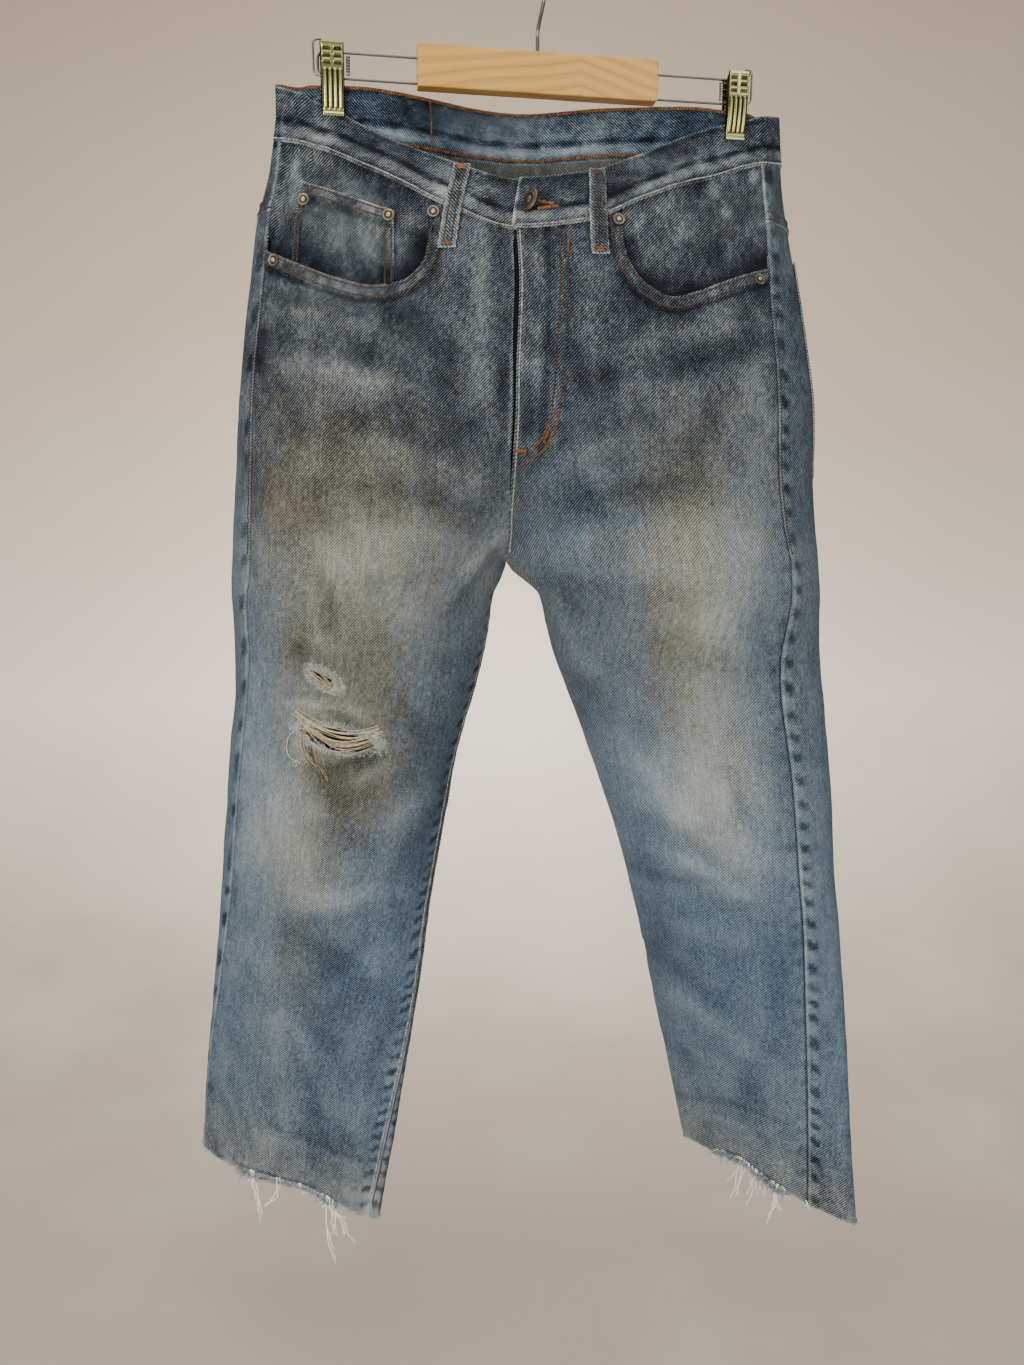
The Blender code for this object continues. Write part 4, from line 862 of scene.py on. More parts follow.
def along_line(points, normals, pitch):
    """Centres, directions and normals at a steady pitch along a line of points."""
    steps = np.linalg.norm(np.diff(points, axis=0), axis=1)
    total = np.concatenate([[0], np.cumsum(steps)])
    count = max(int(total[-1] / pitch), 1)
    place = (np.arange(count) + 0.5) * total[-1] / count
    at = np.stack([np.interp(place, total, points[:, k]) for k in range(3)], 1)
    n = unit(np.stack([np.interp(place, total, normals[:, k]) for k in range(3)], 1))
    lead = [np.interp(np.clip(place + 0.4 * pitch, 0, total[-1]), total, points[:, k])
            - np.interp(np.clip(place - 0.4 * pitch, 0, total[-1]), total, points[:, k])
            for k in range(3)]
    return at, unit(np.stack(lead, 1)), n


def stitches(name, lines, finish, sizes, seed=3):
    """Every stitch is a flattened bead, pointed at both ends and sunk a third into the cloth:
    rings of five points round its length, repeated along each line by arrays. A line is
    (points, normals, length factor)."""
    ring = np.arange(5) * 2 * np.pi / 5
    lengths = np.array([-0.42, 0.0, 0.42])
    widths = np.array([0.8, 1.0, 0.8])
    bead = np.stack([np.repeat(lengths, 5), np.tile(np.cos(ring), 3) * np.repeat(widths, 5) / 2,
                     np.tile(np.sin(ring), 3) * np.repeat(widths, 5) / 2], 1)
    bead = np.concatenate([bead, [[-0.5, 0, -0.25], [0.5, 0, -0.25]]])
    k = np.arange(5)
    n = (k + 1) % 5
    quads = np.concatenate([np.stack([k + 5 * r, n + 5 * r, n + 5 * r + 5, k + 5 * r + 5], 1)
                            for r in range(2)])
    tips = np.concatenate([np.stack([n, k, np.full(5, 15)], 1),
                           np.stack([k + 10, n + 10, np.full(5, 16)], 1)])
    points, tones, count = [], [], 0
    rng = np.random.default_rng(seed)
    for line, normals, stretch in lines:
        at, ahead, up = along_line(line, normals, sizes.pitch * stretch)
        side = np.cross(up, ahead)
        scale = np.array([sizes.stitch * stretch, sizes.thread, sizes.thread * 0.62])
        b = bead * scale
        skew = rng.normal(0, 0.07, (len(at), 1))
        ahead = unit(ahead + side * skew)
        p = (at[:, None] + ahead[:, None] * b[:, 0:1] + side[:, None] * b[:, 1:2]
             + up[:, None] * (b[:, 2:3] + sizes.thread * 0.12))
        points.append(p.reshape(-1, 3))
        tones.append(np.repeat(rng.uniform(0, 1, len(at)), 17))
        count += len(at)
    shift = (np.arange(count) * 17)[:, None, None]
    faces = ((quads[None] + shift).reshape(-1, 4).tolist()
             + (tips[None] + shift).reshape(-1, 3).tolist())
    return make_object(name, np.concatenate(points), faces, finish,
                       {"tone": np.concatenate(tones)}, None, 0)


def turned_piece(profile, sides=48):
    """Points, faces and tone of a turned form from (radius, height) rows that end on its axis:
    the tone is high where it stands proud and at its middle, and low in its hollows."""
    profile = np.array(profile, float)
    turn = np.arange(sides) * 2 * np.pi / sides
    rings = profile[:-1]
    points = np.stack([rings[:, :1] * np.cos(turn), rings[:, :1] * np.sin(turn),
                       np.repeat(rings[:, 1:], sides, 1)], -1).reshape(-1, 3)
    points = np.concatenate([points, [[0, 0, profile[-1, 1]]]])
    number = np.arange(len(rings) * sides).reshape(len(rings), sides)
    nxt = np.roll(number, -1, 1)
    quads = np.stack([number[:-1], nxt[:-1], nxt[1:], number[1:]], -1).reshape(-1, 4).tolist()
    tip = np.stack([number[-1], nxt[-1], np.full(sides, len(points) - 1)], 1).tolist()
    radius, height = profile[:, 0] / profile[:, 0].max(), profile[:, 1] / profile[:, 1].max()
    tone = np.clip(0.42 + 0.35 * (height - 0.5) + 0.6 * (radius < 0.3) - 0.4 * (radius > 0.93)
                   - 0.5 * (np.abs(radius - 0.48) < 0.14), 0, 1)
    faces = quads + tip + [number[0][::-1].tolist()]
    return points, faces, np.append(np.repeat(tone[:-1], sides), tone[-1])


def stood_on(points, place, normal):
    """Points set out with their z along the normal at a place."""
    normal = unit(np.asarray(normal, float))
    side = unit(np.cross(np.array([0.0, 0.0, 1.0]), normal))
    up = np.cross(normal, side)
    return place + points[:, :1] * side + points[:, 1:2] * up + points[:, 2:] * normal


# ---- shader maths


class Wire:
    """A value in a material: sums, products and differences with wires or numbers add Math
    nodes."""

    def __init__(self, finish, socket):
        self.finish = finish
        self.socket = socket

    def math(self, operation, *values):
        return self.finish.node("Math", {"operation": operation}, dict(enumerate((self,) + values)))

    def __add__(self, other):
        return self.math("ADD", other)

    def __sub__(self, other):
        return self.math("SUBTRACT", other)

    def __mul__(self, other):
        return self.math("MULTIPLY", other)

    def __rsub__(self, other):
        return self.math("MULTIPLY", -1.0).math("ADD", other)

    def __abs__(self):
        return self.math("ABSOLUTE")

    __radd__ = __add__
    __rmul__ = __mul__

    def sine(self):
        return self.math("SINE")

    def between(self, low, high):
        """0 below low, 1 above high, and a smooth step between them."""
        return self.finish.node("MapRange", {"interpolation_type": "SMOOTHSTEP"},
                                {"Value": self, "From Min": low, "From Max": high})


class Finish:
    """A material being made: a Principled shader and the nodes in front of it."""

    def __init__(self, name, **sockets):
        self.material = bpy.data.materials.new(name)
        self.material.use_nodes = True
        self.tree = self.material.node_tree
        self.tree.nodes.clear()
        uniform = {key.replace("_", " "): value for key, value in sockets.items()}
        self.shader = self.node("BsdfPrincipled", None, uniform)
        self.node("OutputMaterial", None, {"Surface": self.shader})

    def node(self, kind, settings=None, inputs=None, output=0):
        """Add a node: its settings first, then the values or wires of its sockets."""
        made = self.tree.nodes.new("ShaderNode" + kind)
        for name, value in (settings or {}).items():
            if name == "stops":
                stops = made.color_ramp.elements
                while len(stops) < len(value):
                    stops.new(0.5)
                for stop, (position, tint) in zip(stops, value):
                    stop.position, stop.color = position, (*tint, 1)
            else:
                setattr(made, name, value)
        for key, value in (inputs or {}).items():
            if isinstance(value, Wire):
                self.tree.links.new(value.socket, made.inputs[key])
            else:
                made.inputs[key].default_value = value
        return Wire(self, made.outputs[output] if made.outputs else None)

    def put(self, **wires):
        for key, wire in wires.items():
            self.tree.links.new(wire.socket, self.shader.socket.node.inputs[key.replace("_", " ")])

    def axes(self, vector):
        split = self.node("SeparateXYZ", None, {0: vector}).socket.node
        return [Wire(self, split.outputs[k]) * 1000.0 for k in range(3)]

    def cloth(self):
        """Millimetres across and along the cloth, from the piece's UV map."""
        return self.axes(self.node("UVMap", {"uv_map": "cloth"}))[:2]

    def place(self):
        """Millimetres along the object's axes."""
        return self.axes(self.node("TexCoord", None, None, 3))

    def mark(self, name):
        return self.node("Attribute", {"attribute_name": name}, None, 2)

    def noise(self, x, y, z=0.0, detail=2.0, rough=0.5):
        """Noise of about -1 to 1 at a place given as three values."""
        at = self.node("CombineXYZ", None, {0: x, 1: y, 2: z})
        return self.node("TexNoise", None, {"Vector": at, "Scale": 1.0, "Detail": detail,
                                            "Roughness": rough}) * 4.0 - 2.0

    def ramp(self, value, *stops):
        return self.node("ValToRGB", {"stops": stops}, {"Fac": value})

    def mix(self, factor, first, second):
        return self.node("Mix", {"data_type": "RGBA"}, {0: factor, 6: first, 7: second}, 2)

    def bumps(self, height, strength, depth):
        """Normal from a height of 0 to 1, whose full range is depth metres."""
        self.put(Normal=self.node("Bump", None, {"Strength": strength, "Distance": depth,
                                                 "Height": height}))


TURN = 2 * math.pi


def tint(value):
    """A colour setting by its name, or three screen values, as a linear colour."""
    if isinstance(value, str):
        return np.array(getattr(bpy.context.scene.jeans_colours, value))
    return np.array(srgb(*value))


def denim_finish(name):
    """Worn right-hand twill: white weft shows between indigo warp along diagonal lines, more of
    it the more the cloth has faded. Dirt and rust tint it, and the wrong side is greyer."""
    pitch = bpy.context.scene.jeans_sizes.twill / MM
    indigo, faded, bare, soil, rust = (
        tint(key) for key in ("indigo", "faded", "bare", "soil", "rust"))
    f = Finish(name, Roughness=0.95, Specular_IOR_Level=0.08, Sheen_Weight=0.03,
               Sheen_Roughness=0.5)
    s, t = f.cloth()
    wobble = f.noise(s * 0.05, t * 0.05) * 0.6
    twill = ((s - t) * (TURN / pitch) + wobble).sine()
    warp = f.noise(s * 1.3, t * 0.24)
    weft = f.noise(s * 0.24, t * 1.3, 5.0)
    slub = f.noise(s * 0.42, t * 0.035, 9.0)
    mottle = f.noise(s * 0.25, t * 0.13, 3.0, 4.0, 0.6)
    grain = f.noise(s * 0.62, t * 0.45, 11.0, 2.0)
    blotch = f.noise(s * 0.06, t * 0.025, 31.0, 5.0, 0.62).between(-0.3, 0.34) - 0.5
    uneven = f.mark("uneven")
    # The fade mark also carries painted shade and highlights from the pieces: pocket mouths, the
    # waistband's groove, under the band, the fly's slit and the fold troughs.
    fade = (f.mark("fade") + mottle * (uneven * 0.06 + 0.03) + slub * 0.06
            + grain * (uneven * 0.04 + 0.035) + blotch * (uneven * 0.03))
    yarns = twill * (uneven * 0.07 + 0.14) + (warp * 0.19 + weft * 0.11) * (uneven * 0.22 + 0.6)
    level = fade + yarns * (1.3 - fade.between(0.0, 0.9) * 0.6)
    inside = f.mark("inside")
    rim = 1.0 - abs(inside * 2.0 - 1.0)
    level = level + rim * 0.3
    cloth = f.ramp(level, (0.0, indigo * 0.3), (0.12, indigo * 0.8),
                   (0.27, indigo * 0.55 + faded * 0.42), (0.5, faded),
                   (0.75, faded * 0.5 + bare * 0.5), (1.0, bare))
    olive = f.ramp(level, (0.0, indigo * 0.3), (0.12, indigo * 0.7),
                   (0.27, indigo * 0.5 + soil * 0.28), (0.5, soil * 0.95),
                   (0.75, soil * 1.1 + bare * 0.42), (1.0, soil * 0.4 + bare * 0.86))
    orange = f.ramp(level, (0.0, rust * 0.2), (0.5, rust), (1.0, rust * 0.6 + bare * 0.6))
    grime = f.noise(s * 0.07, t * 0.06, 21.0, 4.0, 0.65)
    dirt = f.mark("soil") * (1.0 + grime * 0.35)
    cloth = f.mix(dirt.between(0.0, 1.0), cloth, olive)
    cloth = f.mix((f.mark("rust") * (1.0 + grime * 0.4)).between(0.0, 1.0), cloth, orange)
    grey = f.ramp(level, (0.0, (0.05, 0.055, 0.05)), (0.5, (0.14, 0.145, 0.125)),
                  (1.0, (0.38, 0.37, 0.32)))
    cloth = f.mix(inside.between(0.6, 1.0), cloth, grey)
    f.put(Base_Color=cloth)
    f.bumps(twill * 0.25 + warp * 0.15 + weft * 0.1 + 0.5, 0.7, 0.0008)
    return f.material


def thread_finish(name, dark, clean):
    """Sewing thread or yarn: from a dirty to a clean colour, strand by strand and along each,
    with the twist of its plies as bumps."""
    f = Finish(name, Roughness=0.8, Specular_IOR_Level=0.3, Sheen_Weight=0.1)
    x, y, z = f.place()
    dark, clean = tint(dark), tint(clean)
    value = f.mark("tone") + f.noise(x * 0.4, y * 0.4, z * 0.4) * 0.25
    f.put(Base_Color=f.ramp(value, (0.0, dark), (0.5, dark * 0.5 + clean * 0.5), (1.0, clean)))
    ply = ((x + z) * (TURN / 0.45)).sine() * ((y + z) * (TURN / 0.6)).sine()
    f.bumps(ply * 0.25 + 0.5, 0.5, 0.0002)
    return f.material


def pine_finish(name):
    """Lacquered pine: growth rings of a board cut near its heart make long flowing lines that
    rise to a peak, over fine fibres and a few darker pores."""
    pine = tint("pine")
    f = Finish(name, Specular_IOR_Level=0.45, Coat_Weight=0.15, Coat_Roughness=0.25)
    x, y, z = f.place()
    bend = f.noise(x * 0.006, y * 0.03, z * 0.012, 1.0) * 9.0
    peak = f.node("Math", {"operation": "POWER"}, {0: abs(x - 30.0) + 9.0, 1: 0.6}) * 1.3
    across = z + 62.0 + x * 0.03 + bend + peak
    ring = (across * (TURN / 9.0)).sine() + (across * (TURN / 3.7)).sine() * 0.35
    fibre = f.noise(x * 0.02, y * 1.1, z * 1.3, 3.0)
    pore = f.noise(x * 0.12, y * 3.0, z * 4.0, 1.0)
    value = ring * 0.24 + fibre * 0.12 + pore * 0.05 + 0.55
    f.put(Base_Color=f.ramp(value, (0.0, pine * (0.66, 0.56, 0.42)),
                            (0.35, pine * (0.88, 0.84, 0.76)), (0.6, pine),
                            (1.0, np.minimum(pine * (1.1, 1.12, 1.16), 1))),
          Roughness=0.42 - value * 0.1)
    f.bumps(value, 0.25, 0.0003)
    return f.material


def metal_finish(name, dark, middle, light, rough, scale):
    """Plated metal. Its mark tone is 0 in the grooves and 1 on the raised parts; soft patches and
    fine scratches shift it. On the rivets and button, dull brown stays in the hollows and the highs are
    rubbed bright; on the clips, the dark grooves are painted shade and the bright lip a painted highlight."""
    f = Finish(name, Metallic=1.0)
    x, y, z = f.place()
    patch = f.noise(x * scale, y * scale, z * scale, 4.0, 0.65)
    fine = f.noise(x * 2.1, y * 2.1, z * 0.35, 2.0)
    value = f.mark("tone") + patch * 0.12 + fine * 0.05
    f.put(Base_Color=f.ramp(value, (0.0, tint(dark)), (0.5, tint(middle)), (1.0, tint(light))),
          Roughness=(1.0 - value) * 0.25 + rough)
    f.bumps(patch * 0.2 + fine * 0.1 + 0.5, 0.2, 0.0002)
    return f.material


def stage_finish(name):
    """Matt studio paper with barely visible unevenness. Its colour is a painted pool of light:
    palest at the height of the garment's lower half, darker down at the floor and up the backdrop."""
    f = Finish(name, Specular_IOR_Level=0.15)
    x, y, z = f.place()
    cloud = f.noise(x * 0.004, y * 0.004, z * 0.004, 3.0)
    # painted light: the paper's colour ramps with height to a pale band near the garment's lower half
    height = (z + 1190.0) * (1 / 2040) + cloud * 0.02
    f.put(Base_Color=f.ramp(height, (0.0, srgb(184, 172, 159)), (0.034, srgb(206, 195, 181)),
                            (0.188, srgb(250, 236, 219)), (0.56, srgb(212, 194, 174)),
                            (1.0, srgb(181, 162, 142))),
          Roughness=cloud * 0.03 + 0.85)
    return f.material


# Each material's maker and what it is given: a colour is three screen values or a setting's name.
FINISHES = {
    "Worn Denim": (denim_finish,),
    "Tan Thread": (thread_finish, (40, 32, 26), "tan"),
    "Orange Thread": (thread_finish, (78, 50, 28), "orange"),
    "Cream Thread": (thread_finish, (104, 108, 106), (172, 172, 158)),
    "Dusty Yarn": (thread_finish, (58, 48, 36), (208, 190, 156)),
    "Fluff": (thread_finish, (58, 70, 82), (196, 204, 204)),
    "Cotton Yarn": (thread_finish, (104, 88, 66), "cotton"),
    "Pine": (pine_finish,),
    "Copper": (metal_finish, (60, 48, 40), (112, 98, 84), "copper", 0.36, 0.5),
    "Rivet Plate": (metal_finish, (66, 58, 50), (132, 126, 114), (196, 168, 110), 0.36, 0.6),
    "Steel Wire": (metal_finish, (110, 106, 102), (150, 148, 146), (206, 204, 202), 0.14, 0.1),
    "Clip Plate": (metal_finish, (40, 32, 22), (150, 144, 84), "plate", 0.13, 0.12),
    "Stage Paper": (stage_finish,),
}


def finish(name):
    """The named material, made when it is first asked for."""
    maker, *given = FINISHES[name]
    return bpy.data.materials.get(name) or maker(name, *given)


# ---- leg panels


def cloth_uv(u, z, side, front):
    """Across runs to the viewer's right on every panel, so the twill leans the same way."""
    return np.stack([across(u, z, side, front) * (-side if front else side), z], -1)


def grid_area(points, keep=None):
    """Area of a grid's faces, each taken as the parallelogram of its first corner."""
    a = points[1:, :-1] - points[:-1, :-1]
    b = points[:-1, 1:] - points[:-1, :-1]
    area = np.linalg.norm(np.cross(a, b), axis=-1)
    return float(area.sum() if keep is None else area[keep].sum())


def belongs(made, slot, *nodes):
    """Hang a piece under the root and hide the nodes it stands for; the slot is not used."""
    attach(made, "root")
    if nodes:
        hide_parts(*nodes)


def cloth_piece(name, points, normal, thickness, marks, uv, slot, keep=None,
                turned_over=False):
    """A denim wall in place of the node of its name; the cut size it works out is not kept, and its slot is
    not used.
    """
    made = cloth_shell(name, points, normal, thickness, finish("Worn Denim"), marks, uv, keep,
                       turned_over)
    belongs(made, slot, name)
    steps = np.linalg.norm(np.diff(points, axis=0), axis=-1).sum(0)
    drops = np.linalg.norm(np.diff(points, axis=1), axis=-1).sum(1)
    width, length = float(steps.max()), float(drops.max())
    min(grid_area(points, keep), width * length)


def level_rows(rows, top, bottom, reach=120 * MM):
    """Heights of a grid: level rows that bend to meet the top edge and the bottom edge."""
    high, low = rows[0], rows[-1]
    near_top = smoothstep(rows, high - reach, high)
    near_low = 1 - smoothstep(rows, low, low + reach)
    return rows[None] + (top - high)[:, None] * near_top + (bottom - low)[:, None] * near_low


# Holes worn through the right thigh: x, z, length, height, tilt, raggedness.
RIPS = ((-157, -562, 64, 19, -11, 0.20), (-166, -514, 27, 12, -32, 0.25))


def rip_distance(x, z, rip):
    """Distance outside a ragged lens, in metres: the ellipse's own radius changed by waves
    round it."""
    cx, cz, length, height, tilt, ragged = rip
    a, b = tilted(x, z, cx, cz, length / 2, height / 2, tilt)
    b = b * (1 + 0.5 * a * a)
    angle = np.arctan2(b, a)
    wave = np.sin(3 * angle + cx) * 0.4 + np.sin(7 * angle + cz) * 0.35 + np.sin(13 * angle) * 0.25
    return (np.hypot(a, b) / (1 + ragged * wave) - 1) * height / 2 * MM


def holes_distance(u, z, side):
    """Distance outside the nearer hole at places of a panel."""
    p = surface(u, z, side, True)
    return np.minimum.reduce([rip_distance(p[..., 0], z, rip) for rip in RIPS])


def snap_to_holes(u, z, side, reach):
    """Move the grid's points that are close to a hole's outline onto it, and say which faces
    stay."""
    for _ in range(3):
        gap = holes_distance(u, z, side)
        width = width_at(z, side, True)
        slope_a = (holes_distance(u + 0.002, z, side) - gap) / (0.002 * width)
        slope_z = (holes_distance(u, z + 0.3 * MM, side) - gap) / (0.3 * MM)
        steep = np.maximum(slope_a**2 + slope_z**2, 0.05)
        near = np.abs(gap) < reach
        u = np.where(near, u - gap * slope_a / steep / width, u)
        z = np.where(near, z - gap * slope_z / steep, z)
    gap = holes_distance(u, z, side)
    corners = np.stack([gap[:-1, :-1], gap[1:, :-1], gap[1:, 1:], gap[:-1, 1:]])
    return u, z, corners.max(0) > 0.25 * MM


def panel_marks(points, u, z, side, front):
    """Wear of a leg panel: the tables, the seams' roping and each edge's own rubbing, with painted shade
    under the waistband, at the foot of the pocket's hem and above the rolled hem.
    """
    marks = wear(points, front)
    fade = marks["fade"]
    out, inner = seam_distances(u, z, side, front)
    fade = fade + seam_tone(out, z, side + 2 + front, 18 if side == RIGHT else 9,
                            0.25 if front else 0.95, -0.45 if front else 0.22)
    below = smoothstep(-z, -CROTCH_Z - 10 * MM, -CROTCH_Z + 20 * MM)
    fade = fade + below * seam_tone(inner, z, side + 6, 6.5, 0.9, 0.2)
    if front:
        seam = band_seam(u, side, True)
        under = np.clip((seam - z) / MM, 0, 60)
        # painted shade: darker just under the waistband's seam, where the band's edge shades the panel,
        # broken by puckers
        fade = fade - 0.13 * bell(under, 4) * (1.2 + np.sin(out / (1.7 * MM)))
        mouth = np.where(u < POCKET_EDGE[side][-1][0] + 0.05, mouth_near(u, z, side), 1.0) / MM
        # Pale rubbed edge of the mouth, then painted shade in a line at the foot of its raised hem
        fade = fade + 0.40 * bell(mouth, 1.0) - 0.28 * bell(mouth, 1.5, 11.2)
        fade = fade + 0.09 * bell(mouth, 2.5, 5) * (1 + np.sin(out / (1.9 * MM)))
        fly = smoothstep(z, FLY_FOOT - 6 * MM, FLY_FOOT + 4 * MM)
        inch = inner / MM
        if side == LEFT:
            lump = np.sin(z / (6.0 * MM) + 1.5 * np.sin(z / (14 * MM)))
            patchy = undulation(inch, z / MM, 11, 77)
            fade = fade + fly * (0.30 * bell(inch, 1.0) - 0.16 * bell(inch, 0.6, 1.9)
                                 + 0.12 * bell(inch, 0.9, 3.6)
                                 + (0.05 + 0.08 * lump) * bell(inch, 6, 11)
                                 - (0.20 + 0.16 * patchy) * bell(inch, 3.0, 21)
                                 + 0.10 * patchy * bell(inch, 14, 15, 4)
                                 + 0.07 * np.sin(z / (1.9 * MM)) * bell(inch, 2.5, 33)
                                 - 0.10 * bell(inch, 3, 35))
        else:
            blue = (bell(z / MM, 18, -296) + 0.8 * bell(z / MM, 11, -345)
                    + 0.4 * bell(z / MM, 10, -254))
            fade = fade + fly * (0.26 * bell(inch, 1.1, 3.4)
                                 - 0.12 * bell(inch, 0.8, 1.5)
                                 - 0.34 * bell(inch, 4.5, 9) * blue)
    else:
        mid = smoothstep(z, CROTCH_Z - 5 * MM, CROTCH_Z + 15 * MM)
        fade = fade + mid * seam_tone(inner, z, 9, 12, 0.8, 0.3)
    drop = (z - hem_edge(u, side, front)) / MM
    first, last = ROLL[side]
    rolled = (front * smoothstep(u, first - 0.02, first + 0.02)
              * (1 - smoothstep(u, last - 0.02, last + 0.02)))
    # painted shadow: a dark line just above the rolled yarns of the front hem
    shade = 0.22 + 0.2 * undulation(u * FRONT_WIDE, z / MM, 9, 71)
    fade = fade - rolled * shade * bell(drop, 1.5, 2.2)
    marks["fade"] = fade + (0.24 - 0.2 * rolled) * bell(drop, 1.5)
    return marks


def mouth_near(u, z, side):
    """mouth_distance where the pocket is near, and far off elsewhere."""
    near = (z > -275 * MM) & (u < POCKET_EDGE[side][-1][0] + 0.12)
    gap = np.full(u.shape, 1.0)
    gap[near] = mouth_distance(u[near], z[near], side)
    return gap


def leg_panel(side, front, sizes):
    """Front or back of one leg: lay() of a grid whose level rows bend to meet its edges."""
    width = FRONT_WIDE * MM
    step = sizes.grid / width
    fine = [(0.0, 0.05, 1.5 * MM / width), (0.94, 1.0, 1.5 * MM / width)]
    fine_rows = []
    if front:
        fine.append((POCKET_EDGE[side][-4][0], POCKET_EDGE[side][-1][0], 1.6 * MM / width))
        fine_rows.append((-215 * MM, -195 * MM, 2.0 * MM))
    torn = front and side == RIGHT
    if torn:
        fine.append((0.17, 0.50, 1.35 * MM / width))
        fine_rows.append((-586 * MM, -496 * MM, 1.35 * MM))
    columns = spaced(0, 1, step, fine)
    if front:
        seam = band_seam(columns, side, True)
        top = np.where(columns < POCKET_EDGE[side][-1][0], pocket_edge(columns, side), seam)
    else:
        top = yoke_seam(columns, side)
    hem = hem_edge(columns, side, front)
    rows = spaced(float(top.mean()), float(hem.mean()), sizes.grid, fine_rows)
    z = level_rows(rows, top, hem)
    u = np.broadcast_to(columns[:, None], z.shape).copy()
    if front and side == RIGHT:
        u = u - fly_gap(z) / width * smoothstep(u, 0.93, 1)
    keep = None
    if torn:
        u, z, keep = snap_to_holes(u, z, side, 0.95 * MM)
    lift = 0.0
    if front:
        mouth = mouth_near(u, z, side)
        lift = 0.7 * MM * (1 - smoothstep(mouth, 8.5 * MM, 10.5 * MM))
    if torn:
        gap = holes_distance(u, z, side)
        lift = lift + 1.6 * MM * bell(gap, 3 * MM)
    points, normal = lay(u, z, side, front, lift)
    marks = panel_marks(points, u, z, side, front)
    if torn:
        marks["fade"] = marks["fade"] + 0.25 * bell(gap, 2.0 * MM)
    name = ("front_panel_" if front else "back_panel_") + SIDE_NAME[side]
    cloth_piece(name, points, normal, sizes.denim, marks, cloth_uv(u, z, side, front),
                "denim_outer", keep)


def panel_patch(name, columns, top, bottom, side, front, sizes, slot, tone, lift):
    """A smaller piece that follows a panel between two edges given at each column. Its tone and
    its lift off the panel are functions of the place across and the height."""
    t = np.linspace(0, 1, max(int(np.max(top - bottom) / sizes.grid), 6) + 1)
    z = top[:, None] + (bottom - top)[:, None] * t[None]
    u = np.broadcast_to(columns[:, None], z.shape)
    points, normal = lay(u, z, side, front, lift(u, z))
    marks = wear(points, front)
    marks["fade"] = marks["fade"] + tone(u, z)
    cloth_piece(name, points, normal, sizes.denim, marks, cloth_uv(u, z, side, front), slot)


def yoke(side, sizes):
    """Yoke between the waistband and the back panel, its lower edge lapped over the panel."""
    columns = spaced(0, 1, sizes.grid / (220 * MM), [(0, 0.05, 0.007), (0.94, 1, 0.007)])
    top = band_seam(columns, side, False)
    bottom = yoke_seam(columns, side)

    def tone(u, z):
        out, inner = seam_distances(u, z, side, False)
        edge = (z - yoke_seam(u, side)) / MM
        return (seam_tone(out, z, side + 2, 18, 1.0, 0.4) + seam_tone(inner, z, 9, 12, 0.8, 0.3)
                + 0.25 * bell(edge, 1.2)
                + 0.07 * np.sin(out / (2.2 * MM)) * bell(edge, 3, 5))

    def lap(u, z):
        return 0.8 * MM * (1 - smoothstep(z - yoke_seam(u, side), 8 * MM, 10 * MM))

    panel_patch("yoke_" + SIDE_NAME[side], columns, top, bottom, side, False, sizes,
                "denim_outer", tone, lap)


# ---- front pockets and fly


def pocket_facing(side, sizes):
    """The cloth in the pocket's mouth. It hangs a little slack, with short creases that run
    from the waistband and the rivets."""
    last = POCKET_EDGE[side][-1][0]
    columns = spaced(0, last + 0.03, sizes.grid / (FRONT_WIDE * MM) * 0.8)
    top = band_seam(columns, side, True)
    foot = np.minimum(columns, POCKET_EDGE[side][-2][0])
    bottom = pocket_edge(foot, side) - 16 * MM
    depth = -LAYER * (2 if side == RIGHT else 1)

    def mouth_gap(u, z):
        return mouth_near(u, z, side) * np.sign(z - pocket_edge(np.minimum(u, last), side))

    def tone(u, z):
        near = mouth_gap(u, z) / MM
        under = bell(band_seam(u, side, True) - z, 3 * MM)
        # painted shade: the facing darkens deep in the pocket's mouth and just under the waistband
        return (0.10 - 0.56 * bell(np.clip(near, 0, 90), 13, 0, 1.5) - 0.22 * under
                + 0.22 * undulation(u * FRONT_WIDE + 0.4 * z / MM, z / MM, 17, 31 + side)
                + 0.10 * undulation(u * FRONT_WIDE, z / MM, 7, 33 + side))

    def sink(u, z):
        top_gap = band_seam(u, side, True) - z
        side_gap = across(u, z, side, True) + np.clip(14 * MM - mouth_gap(u, z), 0, 1)
        gap = np.minimum(top_gap, side_gap)
        slack = 0.6 * MM * undulation(u * FRONT_WIDE, z / MM, 17, 35 + side)
        return ((depth - np.minimum(slack, 0)) * (1 - bell(gap, 5 * MM))
                - np.abs(slack) * (1 - bell(gap, 12 * MM)))

    panel_patch("pocket_facing_" + SIDE_NAME[side], columns, top, bottom, side, True, sizes,
                "denim_facing", tone, sink)


COIN_FROM, COIN_TO = 0.19, 0.615


def coin_top(u):
    """The coin pocket's top edge: a slope with a slight crown."""
    t = (u - COIN_FROM) / (COIN_TO - COIN_FROM)
    return (-151.5 - 23.5 * t + 2 * np.sin(np.pi * t)) * MM


